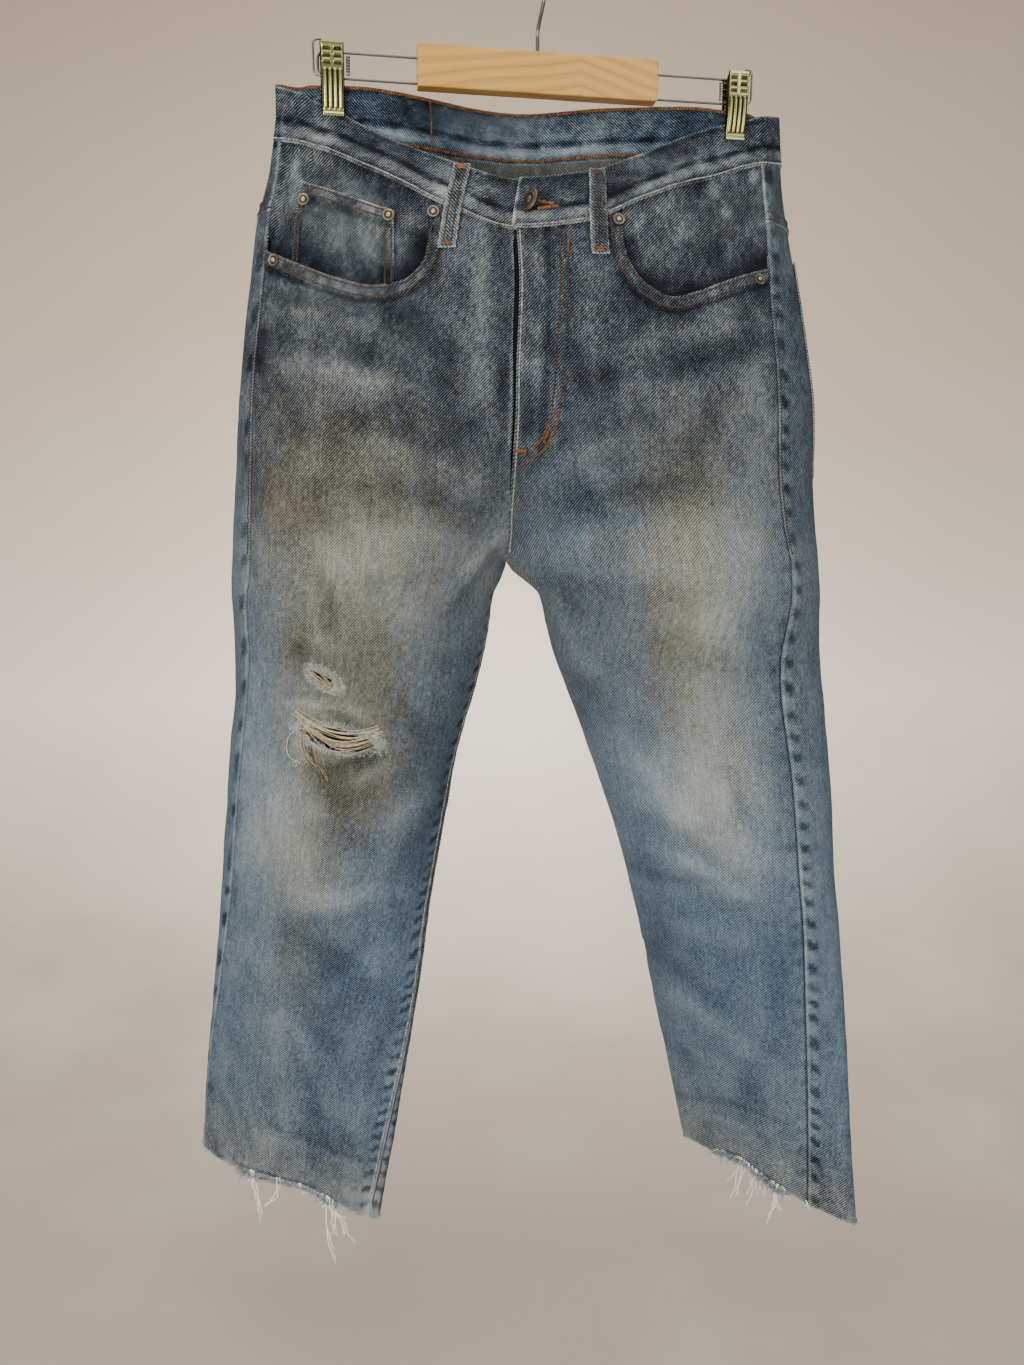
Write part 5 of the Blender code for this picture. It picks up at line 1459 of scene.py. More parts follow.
def coin_pocket(sizes):
    """Small pocket on the right facing, with a turned hem along its top."""
    columns = spaced(COIN_FROM, COIN_TO, 0.009)
    bottom = pocket_edge(columns, RIGHT) - 8 * MM

    def tone(u, z):
        down = (coin_top(u) - z) / MM
        side_gap = np.minimum(u - COIN_FROM, COIN_TO - u) * COIN_WIDE
        low = bell(z - pocket_edge(u, RIGHT), 16 * MM)
        # Pale rubbed top and sides; painted shade at the foot of each hem, and deep in the front pocket's
        # mouth along the bottom (low)
        return (0.30 * bell(down, 1.0) - 0.28 * bell(down, 2.0, 11)
                + 0.24 * bell(side_gap, 1.3) - 0.12 * bell(side_gap, 2.5, 9)
                + 0.13 - 0.42 * low + 0.22 * undulation(u * FRONT_WIDE, z / MM, 17, 39))

    def hem(u, z):
        down = coin_top(u) - z
        side_gap = np.minimum(u - COIN_FROM, COIN_TO - u) * COIN_WIDE * MM
        return (0.5 * MM * (1 - smoothstep(down, 9 * MM, 11 * MM))
                + 0.3 * MM * (1 - smoothstep(side_gap, 6 * MM, 8 * MM)) - LAYER)

    panel_patch("coin_pocket", columns, coin_top(columns), bottom, RIGHT, True, sizes,
                "denim_facing", tone, hem)


def fly_underlay(sizes):
    """Strip behind the centre front, coloured near black as painted shade where it shows in the gap beside
    the fly's edge.
    """
    turns = ((RIGHT, 0.93), (RIGHT, 0.965), (LEFT, 1.0), (LEFT, 0.965), (LEFT, 0.91), (LEFT, 0.82))
    z = np.linspace(-194, -352, 50) * MM
    laid = [lay(np.full(50, u), z, side, True, -LAYER - 0.9 * MM) for side, u in turns]
    points = np.stack([p for p, _ in laid])
    normal = np.stack([n for _, n in laid])
    # painted shade: a fade far below any cloth's makes the strip near black, for the shadow in the fly's
    # slit
    marks = {"fade": np.full(points.shape[:2], -0.5), "soil": np.full(points.shape[:2], 0.2),
             "rust": np.zeros(points.shape[:2])}
    cloth_piece("fly_underlay", points, normal, sizes.denim, marks, points[..., [0, 2]],
                "denim_facing")


# ---- back pockets


BACK_POCKET = (0.22, 0.74)      # from and to across the panel


def back_pocket_edges(u, side):
    """Top and bottom of a plain five-sided pocket whose point hangs below its corners."""
    seam = yoke_seam(u, side)
    depth = CROTCH_Z - seam
    middle = sum(BACK_POCKET) / 2
    away = np.abs(u - middle) / (BACK_POCKET[1] - middle)
    return seam + depth * 0.08, seam + depth * 0.81 + 20 * MM * away


def back_pocket(side, sizes):
    """Plain patch on the seat with a turned hem along its top and turned edges."""
    columns = spaced(*BACK_POCKET, 0.012, [(0.22, 0.26, 0.006), (0.7, 0.74, 0.006)])
    top, bottom = back_pocket_edges(columns, side)

    def edge_gap(u, z):
        high, low = back_pocket_edges(u, side)
        sides = np.minimum(u - BACK_POCKET[0], BACK_POCKET[1] - u) * BACK_WIDE * MM
        return np.minimum(sides, z - low), high - z

    def tone(u, z):
        edge, down = edge_gap(u, z)
        # Pale rubbed edges, with painted shade at the foot of the turned edges
        return (0.2 * bell(edge, 1.3 * MM) + 0.2 * bell(down, 1.3 * MM)
                - 0.08 * bell(edge, 2 * MM, 10 * MM)
                + 0.05 * undulation(u * BACK_WIDE, z / MM, 20, 41 + side) + 0.03)

    def hem(u, z):
        edge, down = edge_gap(u, z)
        return (0.6 * MM * (1 - smoothstep(down, 13 * MM, 15 * MM))
                + 0.4 * MM * (1 - smoothstep(edge, 8 * MM, 10 * MM)) + 1.25 * MM)

    panel_patch("back_pocket_" + SIDE_NAME[side], columns, top, bottom, side, False, sizes,
                "denim_outer", tone, hem)


# ---- waistband and loops

BAND_FROM, BAND_TO = 84.0, 455.0
STACK = 1.4 * MM


def band_lay(turns, z, lift=0.0):
    """The waistband's middle surface: the body's section, its folds, and the two ends set one
    over the other at the centre front."""
    turns, z = np.broadcast_arrays(np.asarray(turns, float), np.asarray(z, float))
    base = body_point(turns, z)
    normal = body_normal(turns, z)
    in_front = np.sin(np.radians(turns)) >= 0
    folds = np.where(in_front, fold_height(base[..., 0], z, True),
                     fold_height(base[..., 0], z, False))
    calm = smoothstep(np.abs(np.sin(np.radians(turns))), 0.06, 0.3)
    lower = np.interp(turns, [BAND_FROM, 98, 108], [-STACK, -STACK, 0])
    upper = np.interp(turns, [439, 444, BAND_TO], [0, STACK, STACK])
    return base + normal * (folds * calm + lower + upper + lift)[..., None], normal


def waistband(sizes):
    """One strip more than once round the waist. Its lower third is raised over the turned
    seam, and its edges are rubbed round and light. Its colour also carries a painted highlight on
    the raised lower third, partly wear, and painted shade in the groove above it."""
    turns = spaced(BAND_FROM, BAND_TO, 0.9)
    top, bottom = band_edge(turns, False), band_edge(turns, True)
    t = np.concatenate([[0, 0.018, 0.05], np.linspace(0.1, 0.9, 17), [0.95, 0.982, 1]])
    z = top[:, None] + (bottom - top)[:, None] * t[None]
    theta = np.broadcast_to(turns[:, None], z.shape)
    down = (top[:, None] - z) / MM
    tall = ((top - bottom)[:, None] - (top[:, None] - z)) / MM
    in_front = np.sin(np.radians(theta)) >= 0
    pucker = 0.25 * np.sin(theta * 1.9 + 2 * np.sin(theta / 3)) * bell(tall, 6)
    ridge = 0.45 * (1 - smoothstep(tall, 11, 13.5)) + pucker
    points, normal = band_lay(theta, z, ridge * MM)
    arc = np.concatenate([[0], np.cumsum(np.linalg.norm(np.diff(points[:, 8], axis=0), axis=-1))])
    ends = np.minimum(arc, arc[-1] - arc)[:, None] / MM
    edge = np.minimum(np.minimum(down, tall), ends)
    thickness = sizes.band * rounded(edge, 1.4, 0.45)
    marks = {key: np.where(in_front, a, b) for (key, a), b in
             zip(wear(points, True).items(), wear(points, False).values())}
    rub_and_shade = 0.42 * bell(edge, 1.0) - 0.14 * bell(edge, 1.2, 3.0)
    # painted highlight along the raised lower third, partly wear, and painted shade in the groove at its
    # top
    rub_and_shade = rub_and_shade + 0.34 * bell(tall, 4.5, 8) + np.where(in_front, 0.0, 0.06)
    rub_and_shade = rub_and_shade - 0.62 * bell(tall, 1.8, 14.2) * (0.7 + 0.3 * np.sin(theta * 0.7))
    rub_and_shade = rub_and_shade + 0.20 * undulation(theta * 1.3, z / MM, 15, 51)
    rub_and_shade = rub_and_shade + 0.12 * undulation(theta * 2.2, z / MM, 6, 52)
    marks["fade"] = marks["fade"] + rub_and_shade
    uv = np.stack([-z, np.broadcast_to(arc[:, None], z.shape)], -1)
    cloth_piece("waistband", points, normal, thickness, marks, uv, "denim_band",
                turned_over=True)


def rounded(edge, reach, thin):
    """Share of a wall's thickness near its edge: a quarter circle that starts at thin."""
    inward = 1 - np.clip(edge / reach, 0, 1)
    return thin + (1 - thin) * np.sqrt(np.clip(1 - inward**2, 0, 1))


# Belt loops: name, x at the top and at the bottom, length, and whether it is in front.
LOOPS = (
    ("front_right", -54.5, -61.5, 60, True),
    ("front_left", 40.5, 44, 63, True),
    ("back_right", -94, -94, 50, False),
    ("back_left", 99, 99, 50, False),
    ("centre_back", 4, 4, 50, False),
)
LOOP_THICK = 1.6 * MM
LOOP_HALF = 5.8             # half a loop's width in mm
LOOP_SPREAD = 1.85          # half a loop's width as a section angle


def loop_lay(row, side_place, t, lift=0.0):
    """A loop's middle surface: side_place is -1 to 1 across it and t is 0 to 1 down it."""
    _, x_top, x_bottom, drop, front = row
    top_angle = angle_at(x_top * MM, (-105 if front else -86) * MM, front)
    bottom_angle = angle_at(x_bottom * MM, (-105 - drop) * MM, True) if front else top_angle
    edge, seam = band_edge(np.array([top_angle] * 2), np.array([False, True]))
    theta = top_angle + (bottom_angle - top_angle) * t + side_place * LOOP_SPREAD
    z = edge - 1 * MM - drop * MM * t
    band_part = np.clip((z - (seam - 4 * MM)) / (3 * MM), 0, 1)
    bow = smooth(t, (0, 0.06, 0.16, 0.34, 0.52, 0.64, 0.72, 0.8, 0.9, 1),
                 np.array((0, 0.1, 0.7, 1, 1, 0.8, 0.5, 0.2, 0, 0)) * MM)
    rest = (1.2 * MM + LOOP_THICK) / 2 + 0.75 * MM + 0.6 * MM * band_part + bow
    base = body_point(theta, z)
    normal = body_normal(theta, z)
    folds = fold_height(base[..., 0], z, front)
    return base + normal * (rest + folds + lift)[..., None], normal


def belt_loop(row):
    """A folded strip that stands a little off the waistband between its two ends; its edges
    are rubbed to white yarns."""
    place = np.array([-1, -0.9, -0.72, -0.5, -0.25, 0, 0.25, 0.5, 0.72, 0.9, 1])
    t = spaced(0, 1, 0.04, [(0, 0.12, 0.015), (0.88, 1, 0.015)])
    a, b = np.meshgrid(place, t, indexing="ij")
    name, x_top, _, drop, front = row
    ends = np.minimum(b, 1 - b) * drop
    ridge = 0.3 * bell(np.abs(a), 0.2, 0.7) - 0.5 * bell(ends, 1.2, 2.6)
    ragged = a + 0.05 * np.sin(b * 60 + x_top) * np.abs(a)**6
    points, normal = loop_lay(row, ragged, b, ridge * MM)
    marks = wear(points, front)
    edge = np.minimum((1 - np.abs(a)) * LOOP_HALF, ends)
    marks["fade"] = (marks["fade"] + 0.45 * bell(edge, 0.7) + 0.12
                     - 0.16 * bell(a, 0.25) + 0.10 * undulation(a * 6, b * drop, 8, 57))
    thickness = LOOP_THICK * rounded(edge, 0.9, 0.4)
    uv = np.stack([a * LOOP_HALF * MM + x_top * MM, points[..., 2]], -1)
    cloth_piece("belt_loop_" + name, points, normal, thickness, marks, uv, "denim_band",
                turned_over=True)


# ---- stitching


def place_at(out, z, side, front):
    """The place u that lies a distance out from the outseam."""
    return halved(lambda u: across(u, z, side, front) < out, np.shape(out), 0.0, 24)


def sewn(u, z, side, front, lift=0.0, stretch=1.0):
    """A row on a panel's outer face: its points, normals and length factor."""
    points, normal = lay(u, z, side, front, lift)
    return points + normal * (0.6 * MM), normal, stretch


def sewn_inside(gap, z, side, front, lift=0.0, stretch=1.0):
    """A row at a distance from the seam opposite the outseam."""
    u = place_at(width_at(z, side, front) - gap * MM, z, side, front)
    return sewn(u, z, side, front, lift, stretch)


def sewn_band(turns, z, sizes, face, stretch, lift=0.0):
    """A row on the waistband's outer face (1) or inner face (-1)."""
    points, normal = band_lay(turns, z, lift)
    return points + normal * face * (sizes.band / 2), normal * face, stretch


def beside(u, z, side, front, shift):
    """A line moved sideways on the cloth by a distance, to the left of its own direction."""
    out = across(u, z, side, front)
    d = np.stack([np.gradient(out), np.gradient(z)], 1)
    d = d / np.linalg.norm(d, axis=1, keepdims=True)
    out, z = out - d[:, 1] * shift, z + d[:, 0] * shift
    return place_at(out, z, side, front), z


def bartack(points, normals, width):
    """Rows of close stitches laid across a short line, as lines of one long stitch each."""
    ahead = unit(points[-1] - points[0])
    side = np.cross(normals[0], ahead)
    rows = []
    for k in np.linspace(0, 1, max(int(np.linalg.norm(points[-1] - points[0]) / (0.62 * MM)), 3)):
        middle = points[0] + (points[-1] - points[0]) * k + normals[0] * 0.25 * MM
        rows.append((np.stack([middle - side * width / 2, middle, middle + side * width / 2]),
                     np.repeat(normals[:1], 3, 0), width / (3.4 * MM)))
    return rows


# The fly's curved outer row, from the waistband down: x, z.
FLY_ROW = ((19, -189), (19, -221), (17, -261), (15, -294), (12, -318), (5, -337), (-5, -347),
           (-20, -354))


def mouth_lines(side):
    """Faded double row along a front pocket's mouth, as far up as the waistband."""
    u = np.linspace(0.012, POCKET_EDGE[side][-1][0] - 0.002, 160)
    z = pocket_edge(u, side)
    lines = []
    for gap in (2.2, 8.0):
        su, sz = beside(u, z, side, True, -gap * MM)
        good = sz < band_seam(su, side, True) - 1 * MM
        lines.append(sewn(su[good], sz[good], side, True, 0.7 * MM))
    return lines


def coin_lines():
    """Double rows along the coin pocket's top and down both its sides."""
    u = np.linspace(COIN_FROM + 0.006, COIN_TO - 0.006, 60)
    lines = [sewn(u, coin_top(u) - gap * MM, RIGHT, True, -LAYER + 0.5 * MM) for gap in (2.0, 7.5)]
    for edge, way in ((COIN_FROM, 1), (COIN_TO, -1)):
        for gap in (1.8, 7.0):
            u = np.full(50, edge + way * gap / COIN_WIDE)
            z = np.linspace(float(coin_top(u[0])) - 1.5 * MM, pocket_edge(u, RIGHT)[0] + 1 * MM, 50)
            lines.append(sewn(u, z, RIGHT, True, -LAYER + 0.3 * MM))
    return lines


def fly_rows():
    """The fly's double row: each in faded thread, and in orange where it kept its colour."""
    fly = np.array(FLY_ROW, float) * MM
    z = np.linspace(-189, -354, 90) * MM
    outer = (place_across(smooth(z, fly[::-1, 1], fly[::-1, 0]), z, LEFT, True), z)
    rows = []
    for shift, kept_from in ((0.0, -205 * MM), (5.5, 0)):
        u, down = beside(*outer, LEFT, True, shift * MM)
        good = (u < 0.995) & (down < band_seam(u, LEFT, True) - 1 * MM)
        kept = good & ((down > kept_from) | (down < -312 * MM))
        rows.append((sewn(u[good], down[good], LEFT, True),
                     sewn(u[kept], down[kept], LEFT, True, 0.15 * MM, 0.6)))
    return rows


def band_inside_lines(sizes):
    """Orange rows on the inside: two thick ones round the back of the waistband, one along its
    front, one that runs down it, and the seat seam's row on both back panels."""
    lines = []
    within = np.linspace(188, 352, 330)
    for inset in (1.6, 34.5):
        points, normal, _ = sewn_band(within, band_edge(within, False) - inset * MM, sizes, -1, 1.0)
        lines += [(points + np.array([0, 0, offset * MM]), normal, 0.8) for offset in (-0.5, 0.5)]
    for start, stop in ((98, 170), (370, 440)):
        half = np.linspace(start, stop, 150)
        lines.append(sewn_band(half, band_edge(half, False) - 1.6 * MM, sizes, -1, 1.15))
    angle = angle_at(-83 * MM, -0.1, False) % 360
    lines.append(sewn_band(np.full(24, angle), np.linspace(-84, -120, 24) * MM, sizes, -1, 1.0))
    z = np.linspace(-124, -300, 90) * MM
    for side in (RIGHT, LEFT):
        u = place_at(width_at(z, side, False) - 4.5 * MM, z, side, False)
        points, normal = lay(u, z, side, False)
        lines.append((points - normal * 0.6 * MM, -normal, 1.0))
    return lines


def stitching(sizes):
    """All sewn rows by thread: faded tan rows, rows that kept their orange, and cream rows."""
    tan, orange, cream = [], [], []
    for side in (RIGHT, LEFT):
        tan += mouth_lines(side)
        z = np.linspace(-230, -420, 200) * MM
        tan.append(sewn(place_at(np.full(200, 2.0 * MM), z, side, False), z, side, False))
        cream.append(sewn_inside(1.4, np.linspace(-470, -975, 200) * MM, side, True))
        z = np.linspace(-470, -985, 200) * MM
        tan += [sewn_inside(gap, z, side, False) for gap in (1.8, 8.0)]
        u = np.linspace(0.004, 0.996, 120)
        seam = yoke_seam(u, side)
        tan += [sewn(u, seam + gap * MM, side, False, 0.8 * MM) for gap in (2.0, 8.0)]
        if side == LEFT:
            z = np.linspace(-126, -424, 120) * MM
            lift = np.where(z > yoke_seam(np.ones_like(z), side), 0.35 * MM, 0.0)
            tan += [sewn_inside(gap, z, side, False, lift) for gap in (1.8, 8.0)]
        tan += [back_pocket_line(side, inset) for inset in (1.8, 7.5)]
        u = np.linspace(BACK_POCKET[0] + 0.008, BACK_POCKET[1] - 0.008, 60)
        tan.append(sewn(u, back_pocket_edges(u, side)[0] - 12 * MM, side, False, 1.85 * MM))
    tan += coin_lines()
    for row in fly_rows():
        tan.append(row[0])
        orange.append(row[1])
    cream.append(sewn_inside(2.0, np.linspace(-189, -420, 150) * MM, LEFT, True, 0.0, 0.35))
    turns = np.linspace(90, 454, 700)
    cream.append(sewn_band(turns, band_edge(turns, True) + 2.0 * MM, sizes, 1, 0.5, 0.45 * MM))
    orange += band_inside_lines(sizes)
    for row in LOOPS:
        t = np.linspace(0.07, 0.93, 60)
        for place in (-0.42, 0.42):
            points, normal = loop_lay(row, np.full(60, place), t)
            tan.append((points + normal * LOOP_THICK / 2, normal, 1.0))
        for low, high in ((0.028, 0.062), (0.938, 0.972)):
            points, normal = loop_lay(row, np.full(2, 0.0), np.array([low, high]), 0.1 * MM)
            points = points + normal * LOOP_THICK / 2
            orange += bartack(points, normal, 8.6 * MM)
    orange += fly_marks(sizes)
    for name, lines, thread in (("stitches_tan", tan, "Tan Thread"),
                                ("stitches_orange", orange, "Orange Thread"),
                                ("stitches_cream", cream, "Cream Thread")):
        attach(stitches(name, lines, finish(thread), sizes), "root")


def back_pocket_line(side, inset):
    """Row inside a back pocket's sides and point."""
    first, last = BACK_POCKET[0] + inset / BACK_WIDE, BACK_POCKET[1] - inset / BACK_WIDE
    middle = (first + last) / 2
    top, low = back_pocket_edges(np.array([first, middle, last]), side)
    corner = low + inset * MM * 1.1
    u = np.interp(np.linspace(0, 4, 200), [0, 1.6, 2, 2.4, 4], [first, first, middle, last, last])
    z = np.interp(np.linspace(0, 4, 200), [0, 1.6, 2, 2.4, 4],
                  [top[0] - 2 * MM, corner[0], corner[1], corner[2], top[2] - 2 * MM])
    return sewn(u, z, side, False, 1.6 * MM)


def fly_marks(sizes):
    """Two bartacks at the fly's foot and the two corded edges of the buttonhole."""
    lines = []
    for x, z, width in (((-19, -12), (-342, -342), 3.0), ((2, 6), (-335, -326), 2.0)):
        x, z = np.array(x) * MM, np.array(z) * MM
        points, normal, _ = sewn(place_across(x, z, LEFT, True), z, LEFT, True, 1.5 * MM)
        lines += bartack(points, normal, width * MM)
    for x, z in (((-2, 8), (-169, -170)), ((-2, 11.5), (-174, -171.6))):
        angle = np.array([angle_at(place * MM, -0.17, True) + 360 for place in x])
        points, normal = band_lay(angle, np.array(z) * MM)
        lines += bartack(points + normal * sizes.band / 2, normal, 2.8 * MM)
    return lines


# ---- threads of the rips and hems


def on_front(x, z, side, lift):
    """Points that stand a little off a front panel at x and z in millimetres."""
    x, z = np.asarray(x, float) * MM, np.asarray(z, float) * MM
    u = place_across(x, z, side, True)
    points, normal = lay(u, z, side, True)
    return points + normal * (np.asarray(lift, float) * MM)[..., None]


# Bundles of bare weft across the rips: x, z at both ends, sag sideways, count, spread, tone.
BUNDLES = (
    (-176, -505, -154, -520, -2, 8, 12, 0.78), (-180, -514, -159, -526, 3, 5, 5, 0.66),
    (-191, -541, -124, -554, -10, 6, 5, 0.95), (-189, -545, -125, -558, -14, 8, 7, 0.75),
    (-184, -550, -127, -563, -14, 8, 7, 0.66), (-177, -557, -169, -598, -4, 6, 6, 0.32),
    (-182, -549, -174, -590, -7, 6, 5, 0.52),
)


BUNDLE_STEPS = 13           # points along a yarn of a bundle
YARN_SIDES = 5


def bundle_paths(row, rng):
    """Yarns that run together along a bowed line, each drifting on its own."""
    x1, z1, x2, z2, sag, count, spread, _ = row
    t = np.linspace(0, 1, BUNDLE_STEPS)
    dx, dz = x2 - x1, z2 - z1
    length = math.hypot(dx, dz)
    nx, nz = -dz / length, dx / length
    offset = np.linspace(-0.5, 0.5, count)[:, None] * spread + rng.normal(0, 0.4, (count, 1))
    pinch = 1 - 0.45 * np.sin(np.pi * t)[None] * rng.uniform(0.4, 1, (count, 1))
    wander = (rng.normal(0, 0.5, (count, 1)) * np.sin(2 * np.pi * t)[None]
              + rng.normal(0, 0.35, (count, 1)) * np.sin(3 * np.pi * t + 1)[None])
    aside = offset * pinch + sag * np.sin(np.pi * t)[None] * rng.uniform(0.75, 1.15, (count, 1)) + wander
    start = rng.uniform(-0.06, 0.04, (count, 1))
    along = start + t[None] * (1 + rng.uniform(-0.02, 0.06, (count, 1)) - start)
    x, z = x1 + dx * along + nx * aside, z1 + dz * along + nz * aside
    lift = 0.9 + 1.5 * np.sin(np.pi * t)[None] * rng.uniform(0.3, 1.0, (count, 1))
    return on_front(x, z, RIGHT, lift)


def lip_fuzz(rng, count=1300):
    """Short yarn ends round the holes, lying out over the hole and over the cloth."""
    groups = []
    for rip in RIPS:
        cx, cz, length, height, tilt, _ = rip
        angle = rng.uniform(0, 2 * np.pi, count // 2)
        turn = math.radians(tilt)
        scale = rng.uniform(0.95, 1.2, angle.shape)
        a, b = np.cos(angle) * length / 2 * scale, np.sin(angle) * height / 2 * scale
        x = cx + a * math.cos(turn) - b * math.sin(turn)
        z = cz + a * math.sin(turn) + b * math.cos(turn)
        inward = np.where(rng.uniform(size=angle.shape) < 0.5, np.pi, 0)
        heading = (angle + inward + rng.normal(0, 0.6, angle.shape))[:, None]
        t = np.linspace(0, 1, 5)[None]
        reach = rng.uniform(1.4, 4.2, angle.shape)[:, None]
        bend = rng.normal(0, 0.9, angle.shape)[:, None]
        px, pz = (start[:, None] + (wave(heading) * t + wave(heading + 1.57) * bend * t * t * 0.5) * reach
                  for start, wave in ((x, np.cos), (z, np.sin)))
        lift = 0.75 + 1.3 * t * rng.uniform(0.2, 1, angle.shape)[:, None]
        groups.append(on_front(px, pz, RIGHT, lift))
    return np.concatenate(groups)


# One loose yarn with a small knot: x, z, distance off the cloth.
LOOSE_LOOP = ((-172, -557, 1), (-182, -554, 2), (-191, -557, 3), (-197, -564, 3), (-199, -572, 2),
              (-197, -579, 2), (-193, -582, 2), (-195, -586, 2), (-191, -586, 3), (-192, -581, 2),
              (-188, -584, 2))


def rip_threads():
    """Dusty bare weft across the holes with one loose yarn, and paler fuzz round their lips."""
    rng = np.random.default_rng(17)
    groups, tones = [], []
    for row in BUNDLES:
        paths = bundle_paths(row, rng)
        groups.append(strands(paths, rng.uniform(0.2, 0.33, (len(paths), 1)) * MM, YARN_SIDES))
        tones.append(np.repeat(row[7] + rng.uniform(-0.3, 0.3, len(paths)), BUNDLE_STEPS * YARN_SIDES))
    route = np.array(LOOSE_LOOP, float)
    t = np.linspace(0, len(route) - 1, 60)
    loop = smooth(t, np.arange(len(route)), route)
    groups.append(strands(on_front(loop[None, :, 0], loop[None, :, 1], RIGHT, loop[None, :, 2]),
                          0.34 * MM, YARN_SIDES))
    tones.append(0.95)
    belongs(join_strands("rip_threads", groups, finish("Dusty Yarn"), tones), "cotton_fringe")
    fuzz = [strands(lip_fuzz(rng), 0.15 * MM, 3)]
    belongs(join_strands("rip_fuzz", fuzz, finish("Fluff"), [0.9]), "cotton_fringe")


# Long yarns that hang from the raw hems: place across the front panel, drop, sideways drift,
# swing at the middle, yarns.
TAILS = {
    RIGHT: ((0.40, 58, 6, 3, 4), (0.41, 40, 4, -2, 4), (0.40, 14, -5, 2, 4), (0.53, 36, -11, 4, 3),
            (0.62, 14, 5, 2, 2), (0.75, 70, 6, -4, 3), (0.76, 52, 17, 3, 3),
            (0.75, 40, 6, 2, 4), (0.77, 22, 8, -3, 3), (0.74, 12, -4, 2, 3)),
    LEFT: ((0.40, 10, -3, 2, 4), (0.37, 12, 5, 2, 3), (0.285, 52, -4, 2, 3), (0.28, 30, -7, 3, 2),
           (0.25, 34, 14, -3, 3), (0.23, 40, -6, 3, 2), (0.21, 26, 3, 2, 2), (0.15, 46, -2, 3, 4),
           (0.13, 34, 4, -3, 3), (0.12, 14, 6, 2, 2), (0.005, 8, 2, 1, 2)),
}
ROLL = {RIGHT: (0.32, 0.80), LEFT: (0.10, 0.42)}    # from and to across the front hem
ROLL_YARNS, ROLL_STEPS = 26, 40


def hem_point(u, side, front):
    """Points and normals along a raw hem."""
    return lay(u, hem_edge(u, side, front), side, front)


def hem_roll(side, rng):
    """Loose weft yarns that lie along the front hem and roll over its edge."""
    first, last = ROLL[side]
    count, steps = ROLL_YARNS, ROLL_STEPS
    start = rng.uniform(first, last - 0.12, (count, 1))
    u = start + np.linspace(0, 1, steps)[None] * rng.uniform(0.10, 0.30, (count, 1))
    u = np.minimum(u, last)
    ends = np.minimum(u - first, last - u) / (last - first)
    root, normal = hem_point(u, side, True)
    t = np.linspace(0, 2 * np.pi, steps)[None]
    down = (rng.uniform(-1.0, 3.4, (count, 1)) * np.clip(ends * 12, 0.1, 1)
            + 0.7 * np.sin(t * rng.uniform(2, 6, (count, 1)) + rng.uniform(0, 6, (count, 1))))
    out = (rng.uniform(-0.6, 1.8, (count, 1))
           + 0.6 * np.sin(t * rng.uniform(2, 6, (count, 1)) + rng.uniform(0, 6, (count, 1))))
    path = root + normal * (out * MM)[..., None]
    path[..., 2] -= down * MM
    return strands(path, rng.uniform(0.28, 0.46, (count, 1)) * MM, YARN_SIDES)


def hem_fringe(side, sizes):
    """Raw hem: short yarns of white weft and blue warp once round the leg, much denser in
    front where it has rolled, and long yarns that hang down in tufts."""
    rng = np.random.default_rng(29 + side)
    groups, tones = [], []
    first, last = ROLL[side]
    fringes = ((True, 420, 0.01, 0.99, 0.4), (True, 2300, first, last, 1.0),
               (False, 420, 0.01, 0.99, 0.4))
    for front, count, low, high, much in fringes:
        u = np.sort(rng.uniform(low, high, count))
        root, normal = hem_point(u, side, front)
        ragged = 0.75 + 0.35 * undulation(u * 240, u * 0, 18, 61 + side)
        reach = rng.uniform(0.2, 1.0, count) * sizes.fuzz * much * np.clip(ragged, 0.15, 1.1)
        heading = rng.normal(0, 0.7, count)
        sideways = unit(np.gradient(root, axis=0) + 1e-6)
        t = np.linspace(0, 1, 5)[None, :, None]
        curl = rng.normal(0, 0.9, (count, 1, 1))
        path = (root[:, None] + np.array([0, 0, 1.6 * MM])
                + t * reach[:, None, None] * (np.array([0, 0, -1.0]) * np.cos(heading)[:, None, None]
                                              + sideways[:, None] * np.sin(heading)[:, None, None])
                + t * t * reach[:, None, None] * (sideways[:, None] * curl * 0.6
                                                  + normal[:, None] * rng.normal(0.15, 0.5, (count, 1, 1))))
        path = path + normal[:, None] * rng.uniform(-0.6, 1.1, (count, 1, 1)) * MM
        groups.append(strands(path, rng.uniform(0.14, 0.27, (count, 1)) * MM, 3))
        tones.append(np.repeat(rng.uniform(0.1, 0.9, count), 15))
    groups.append(hem_roll(side, rng))
    tones.append(np.repeat(rng.uniform(0.1, 0.8, ROLL_YARNS), ROLL_STEPS * YARN_SIDES))
    tails, shades = [], []
    for place, drop, drift, swing, yarns in TAILS[side]:
        root, normal = hem_point(np.full(yarns, place) + rng.normal(0, 0.006, yarns), side, True)
        t = np.linspace(0, 1, 17)[None]
        long = drop * MM * rng.uniform(0.72, 1.0, (yarns, 1))
        x = drift * MM * t**1.2 * rng.uniform(0.6, 1.3, (yarns, 1)) + swing * MM * np.sin(np.pi * t)
        kink = rng.normal(0, 1.2, (yarns, 1)) * MM
        x = x + kink * np.sin((3 + 3 * rng.uniform(size=(yarns, 1))) * np.pi * t) * t
        y = rng.normal(0, 1.2, (yarns, 1)) * MM * np.sin(2 * np.pi * t) - 1.6 * MM
        path = root[:, None] + np.stack([x, y, 3 * MM - long * t], -1)
        tails.append(strands(path, 0.6 * MM * (1 - 0.35 * t) * np.ones((yarns, 1)), YARN_SIDES))
        shades.append(1.0)
    name = "hem_fringe_" + SIDE_NAME[side]
    fluff = join_strands(name, groups, finish("Fluff"), tones)
    hanging = join_strands("hem_tails_" + SIDE_NAME[side], tails, finish("Cotton Yarn"), shades)
    belongs(fluff, "cotton_fringe", name)
    belongs(hanging, "cotton_fringe")


# ---- button and rivets

